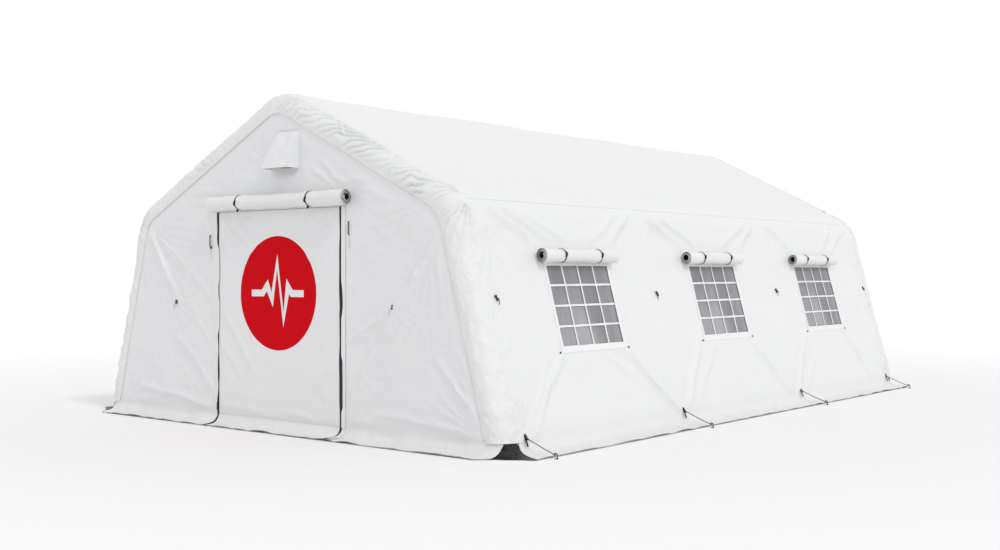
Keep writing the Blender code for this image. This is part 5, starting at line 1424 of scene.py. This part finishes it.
def sweep(name, path, radius, look, sides=10):
    # A round bar along a path, its radius one number or one for every point
    tangent = unitTangents(path)
    side = np.cross(tangent[0], (0.0, 0.0, 1.0) if abs(tangent[0][2]) < 0.9 else (1.0, 0.0, 0.0))
    points, uv = [], []
    for spot, way, r, along in zip(path, tangent, np.broadcast_to(radius, (len(path),)), lengthsAlong(path)):
        side = side - way * (side @ way)
        side /= np.linalg.norm(side)
        other = np.cross(way, side)
        for a in (math.tau * c / sides for c in range(sides)):
            points.append(spot + r * (side * math.cos(a) + other * math.sin(a)))
            uv.append((along, a * r))
    return give(meshPiece(name, points, ringFaces(len(path), sides), uv), look, "tent", slot="webbing")


ties = {"places": (-3.095, -1.055, 1.055, 3.095), "diameter": 0.006, "foot": 0.105,
        "webs": {"a": (-0.016, -0.052, 0.026, 0.0), "b": (0.008, -0.012, 0.018, 0.0032)}, "web": (0.0075, 0.0015),
        "knot": [(-0.014, 0.012, 0.010), (0.0, 0.004, 0.015), (0.014, 0.010, 0.010)], "knotRadius": 0.0075,
        "pegX": 2.488, "pegRadius": 0.0042, "plate": (0.013, 0.003), "plateX": 0.006,
        "pegBend": [(0.010, 0, 0.002), (0.010, 0, 0.022), (0.006, -0.001, 0.033), (-0.004, -0.001, 0.036),
                    (-0.013, 0, 0.030), (-0.016, 0, 0.021)]}


def buildTie(half, word, label, y):
    matrix = wallFrame(y, ties["foot"])
    for letter, (foot, low, out, layer) in ties["webs"].items():
        # the webbing is doubled: one leg hangs to the crease, the other takes the cord
        legs = smoothRun([(0.0, 0.034, 0.005), (foot * 0.35, 0.012, 0.012), (foot, low, out)], 9)
        points = [(px + dx, py, pz + dz + layer) for px, py, pz in legs for dx, dz in corners(*ties["web"])]
        web = meshPiece(f"tieWeb{word}{label}{letter}", carried(matrix, points, half), ringFaces(len(legs), 4),
                        [point[:2] for point in points])
        give(mendNormals(web), "blackWeb", "tent", slot="webbing")
    # A thick black knot at the webbing's apex, which also stands in for the shade inside the webbing's V
    knot = sweep(f"tieKnot{word}{label}", carried(matrix, smoothRun(ties["knot"], 9), half),
                 ties["knotRadius"] * np.sin(np.linspace(0.5, math.pi - 0.5, 9)), "blackPlastic")
    start, end = carried(matrix, ties["knot"][1]), np.array((ties["pegX"], y - 0.004, 0.024))
    stops = [start, start * 0.7 + end * 0.3 + (0, 0.006, -0.003), start * 0.45 + end * 0.55 + (0, 0.010, -0.006), end]
    path = turned(smoothRun(stops, 26), half)
    cord = sweep(f"tieCord{word}{label}", path, ties["diameter"] / 2, "cord")
    peg = buildPeg(f"groundPeg{word}{label}", half, y)
    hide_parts(f"hold_down_{word.lower()}_{label}")


def buildPeg(name, half, y):
    # The head of a driven steel peg: a bent hook over the cord, and a round plate
    path = smoothRun(np.array(ties["pegBend"]) + (ties["pegX"], y, 0), 17)
    bend = sweep(name, turned(path, half), ties["pegRadius"], "blackMetal")
    deselect()
    bpy.ops.mesh.primitive_cylinder_add(vertices=28, radius=ties["plate"][0], depth=ties["plate"][1])
    plate = bpy.context.object
    bpy.ops.object.mode_set(mode="EDIT")
    bpy.ops.mesh.select_all(action="SELECT")
    bpy.ops.mesh.bevel(offset=0.0009, segments=2, affect="EDGES")
    bpy.ops.object.mode_set(mode="OBJECT")
    placePoints(plate, (ties["pegX"] + ties["plateX"], y, 0.0018), Matrix.Identity(4), half)
    plate.data.polygons.foreach_set("use_smooth", [True] * len(plate.data.polygons))
    return give(joinAll(name, [bend, plate]), "blackPlastic", "tent", slot="webbing")


toggle = {"length": 0.044, "radius": 0.0085, "stand": 0.013, "cord": 0.0042, "height": 1.035, "tilt": 112,
          "gableTilt": 80, "squat": 1.35, "patch": (-0.022, -0.004, 0.022, -0.004, 0.040), "patchThick": 0.0012,
          "tail": [(0.010, -0.014, 0.020), (0.016, -0.030, 0.012), (0.014, -0.046, 0.007)],
          "gableTail": [(0.0, 0.004, 0.004), (0.0, 0.0, 0.020), (-0.022, -0.022, 0.016), (-0.045, -0.060, 0.008),
                        (-0.030, -0.098, 0.007)]}


def buildToggle(name, matrix, half, tilt, tailRun, tailLook, squat=1.0):
    # A barrel toggle held to the wall by a loop of cord, whose tail hangs below it
    ways = np.linspace(-1, 1, 17)
    reach = toggle["length"] / 2 / squat
    ux, uy = math.cos(math.radians(tilt)), math.sin(math.radians(tilt))
    path = np.array([(ux * w * reach, uy * w * reach, toggle["stand"]) for w in ways])
    shape = toggle["radius"] * squat * np.where(np.abs(ways) > 0.93, 0.62, np.where(np.abs(ways) < 0.22, 0.74, 1.0))
    barrel = sweep(name + "Barrel", carried(matrix, path, half), shape, "blackPlastic", sides=14)
    patch = ribbons(name + "Patch", [toggle["patch"]], matrix, half, toggle["patchThick"], toggle["patchThick"])
    give(patch, "tape", "tent", slot="webbing")
    run = carried(matrix, smoothRun(tailRun, 22), half)
    tail = sweep(name + "Tail", run, toggle["cord"] / 2, tailLook, sides=8)


hook = {"Left": (-0.800, 1.458), "Right": (0.800, 1.530), "tall": 0.092, "stand": 0.014, "rod": 0.0042,
        "cord": 0.0036, "patchWide": 0.020, "patchThick": 0.0018}


def buildHook(half, word, side):
    # A bent rod on two sewn patches, with a cord hanging from its foot
    matrix, h, out = gableFrame(*hook[side]), hook["tall"] / 2, hook["stand"]
    bend = [(0, h, 0.001), (0, h, out * 0.7), (0, h - 0.010, out), (0, 0, out),
            (0, -h + 0.010, out), (0, -h, out * 0.7), (0, -h, 0.001)]
    sweep(f"doorHook{word}{side}", carried(matrix, smoothRun(bend, 33), half), hook["rod"], "blackPlastic")
    patches = [(0, h - 0.008, 0, h + 0.012, hook["patchWide"]), (0, -h - 0.012, 0, -h + 0.008, hook["patchWide"])]
    patches = ribbons(f"doorHookPatch{word}{side}", patches, matrix, half, 0.0012, hook["patchThick"])
    give(patches, "blackWeb", "tent", slot="webbing")
    stops = [(0.0, -h + 0.012, out - 0.001), (0.006, -h - 0.02, 0.014), (0.008, -h - 0.06, 0.010),
             (0.004, -h - 0.10, 0.009)]
    run = carried(matrix, smoothRun(stops, 20), half)
    cord = sweep(f"doorHookCord{word}{side}", run, hook["cord"] / 2, "whiteCord", sides=8)


for half, word, _, label, y in onWalls(ties["places"]):
    buildTie(half, word, label, y)
for half, word, number, label, y in onWalls(ties["places"]):
    sway = 0.010 * math.sin(number * 2.3 + half)
    tail = [(0.004, 0.004, 0.004), (0.002, 0.0, 0.020)] + [(x + sway, z, out) for x, z, out in toggle["tail"]]
    buildToggle(f"guyToggle{word}{label}", wallFrame(y, toggle["height"]), half, toggle["tilt"], tail, "cord")
for half, word in enumerate(ends):
    for way, side in ((-1, "Left"), (1, "Right")):
        buildToggle(f"guyToggle{word}{side}", gableFrame(way * gable["toggleX"], gable["toggleZ"]), half,
                    toggle["gableTilt"], toggle["gableTail"], "whiteCord", toggle["squat"])
for half, word in enumerate(ends):
    for side in ("Left", "Right"):
        buildHook(half, word, side)
print("cords tied")


# ---- groundsheet

groundsheet = {"x": 2.22, "y": 3.28, "notch": 0.36, "top": 0.0035, "cell": 0.09, "thick": 0.002}


def buildGroundsheet():
    x, y, n = groundsheet["x"], groundsheet["y"], groundsheet["notch"]
    outline = [(x, n - y), (x, y - n), (x - n, y - n), (x - n, y), (n - x, y), (n - x, y - n), (-x, y - n), (-x, n - y),
               (n - x, n - y), (n - x, -y), (x - n, -y), (x - n, n - y)]

    def surface(u, v):
        return np.stack([u, v, groundsheet["top"] + 0.0010 * np.abs(ripple(u, v, 0.6, 9))], axis=1)

    piece = plateSheet("groundsheetCloth", outline, [], surface, groundsheet["cell"], thickness=groundsheet["thick"])
    give(piece, "sheet", "tent", "groundsheet", slot="groundsheet")


buildGroundsheet()
print("groundsheet laid")


# ---- materials for the CAD nodes that stay

for prefix, look in (("zip_slider", "blackMetal"), ("air_valve", "blackPlastic"), ("valve_cap", "blackPlastic")):
    for name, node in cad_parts.items():
        if name.startswith(prefix):
            node.data.materials.clear()
            node.data.materials.append(looks[look])


# ---- floor, light and background

studio = {"sky": 0.867, "overhead": -0.016, "sun": 0.80, "sunWay": (0.70, -0.14, 0.70), "sunSoftness": 12,
          "floor": (0.895, 0.895, 0.90), "floorSize": 400, "fadeFrom": 4.5, "fadeTo": 10.0}


def buildFloor():
    # A pale floor that keeps the shadow near the tent and fades to white further out
    deselect()
    bpy.ops.mesh.primitive_plane_add(size=studio["floorSize"], location=(0, 0, -0.001))
    floor = bpy.context.object
    floor.name = "floor"
    look, tree, shader = newLook("paleFloor")
    feed(tree, shader, {"Base Color": (*studio["floor"], 1), "Roughness": 0.9, "Specular IOR Level": 0.1})
    place = newNode(tree, "TexCoord", {}).outputs["Object"]
    far = newNode(tree, "VectorMath", {0: place}, operation="LENGTH").outputs["Value"]
    fade = newNode(tree, "MapRange", {"Value": far, "From Min": studio["fadeFrom"], "From Max": studio["fadeTo"]})
    seen = newNode(tree, "LightPath", {}).outputs["Is Camera Ray"]
    mix = newNode(tree, "MixShader", {0: mathNode(tree, "MULTIPLY", fade.outputs[0], seen), 1: shader.outputs[0],
                                      2: newNode(tree, "Emission", {}).outputs[0]})
    feed(tree, tree.nodes["Material Output"], {0: mix.outputs[0]})
    floor.data.materials.append(look)


def buildLight():
    world = bpy.data.worlds.new("studio")
    bpy.context.scene.world = world
    world.use_nodes = True
    tree = world.node_tree
    way = newNode(tree, "TexCoord", {}).outputs["Generated"]
    up = mathNode(tree, "MAXIMUM", newNode(tree, "SeparateXYZ", {0: way}).outputs["Z"], 0.0)
    strength = mathNode(tree, "MULTIPLY_ADD", up, studio["overhead"], studio["sky"])
    light = feed(tree, tree.nodes["Background"], {"Color": (1, 1, 1, 1), "Strength": strength})
    white = newNode(tree, "Background", {"Color": (1, 1, 1, 1)})
    ray = newNode(tree, "LightPath", {}).outputs
    seen = mathNode(tree, "MAXIMUM", ray["Is Glossy Ray"], ray["Is Transmission Ray"])
    seen = mathNode(tree, "MAXIMUM", ray["Is Camera Ray"], seen)
    mix = newNode(tree, "MixShader", {0: seen, 1: light.outputs[0], 2: white.outputs[0]})
    feed(tree, tree.nodes["World Output"], {0: mix.outputs[0]})
    deselect()
    toLamp = Vector(studio["sunWay"])
    bpy.ops.object.light_add(type="SUN", location=toLamp * 12)
    sun = bpy.context.object
    sun.rotation_euler = toLamp.to_track_quat("Z", "Y").to_euler()
    sun.data.energy = studio["sun"]
    sun.data.angle = math.radians(studio["sunSoftness"])
    bpy.context.scene.view_settings.view_transform = "Standard"


buildFloor()
buildLight()
print("studio lit")
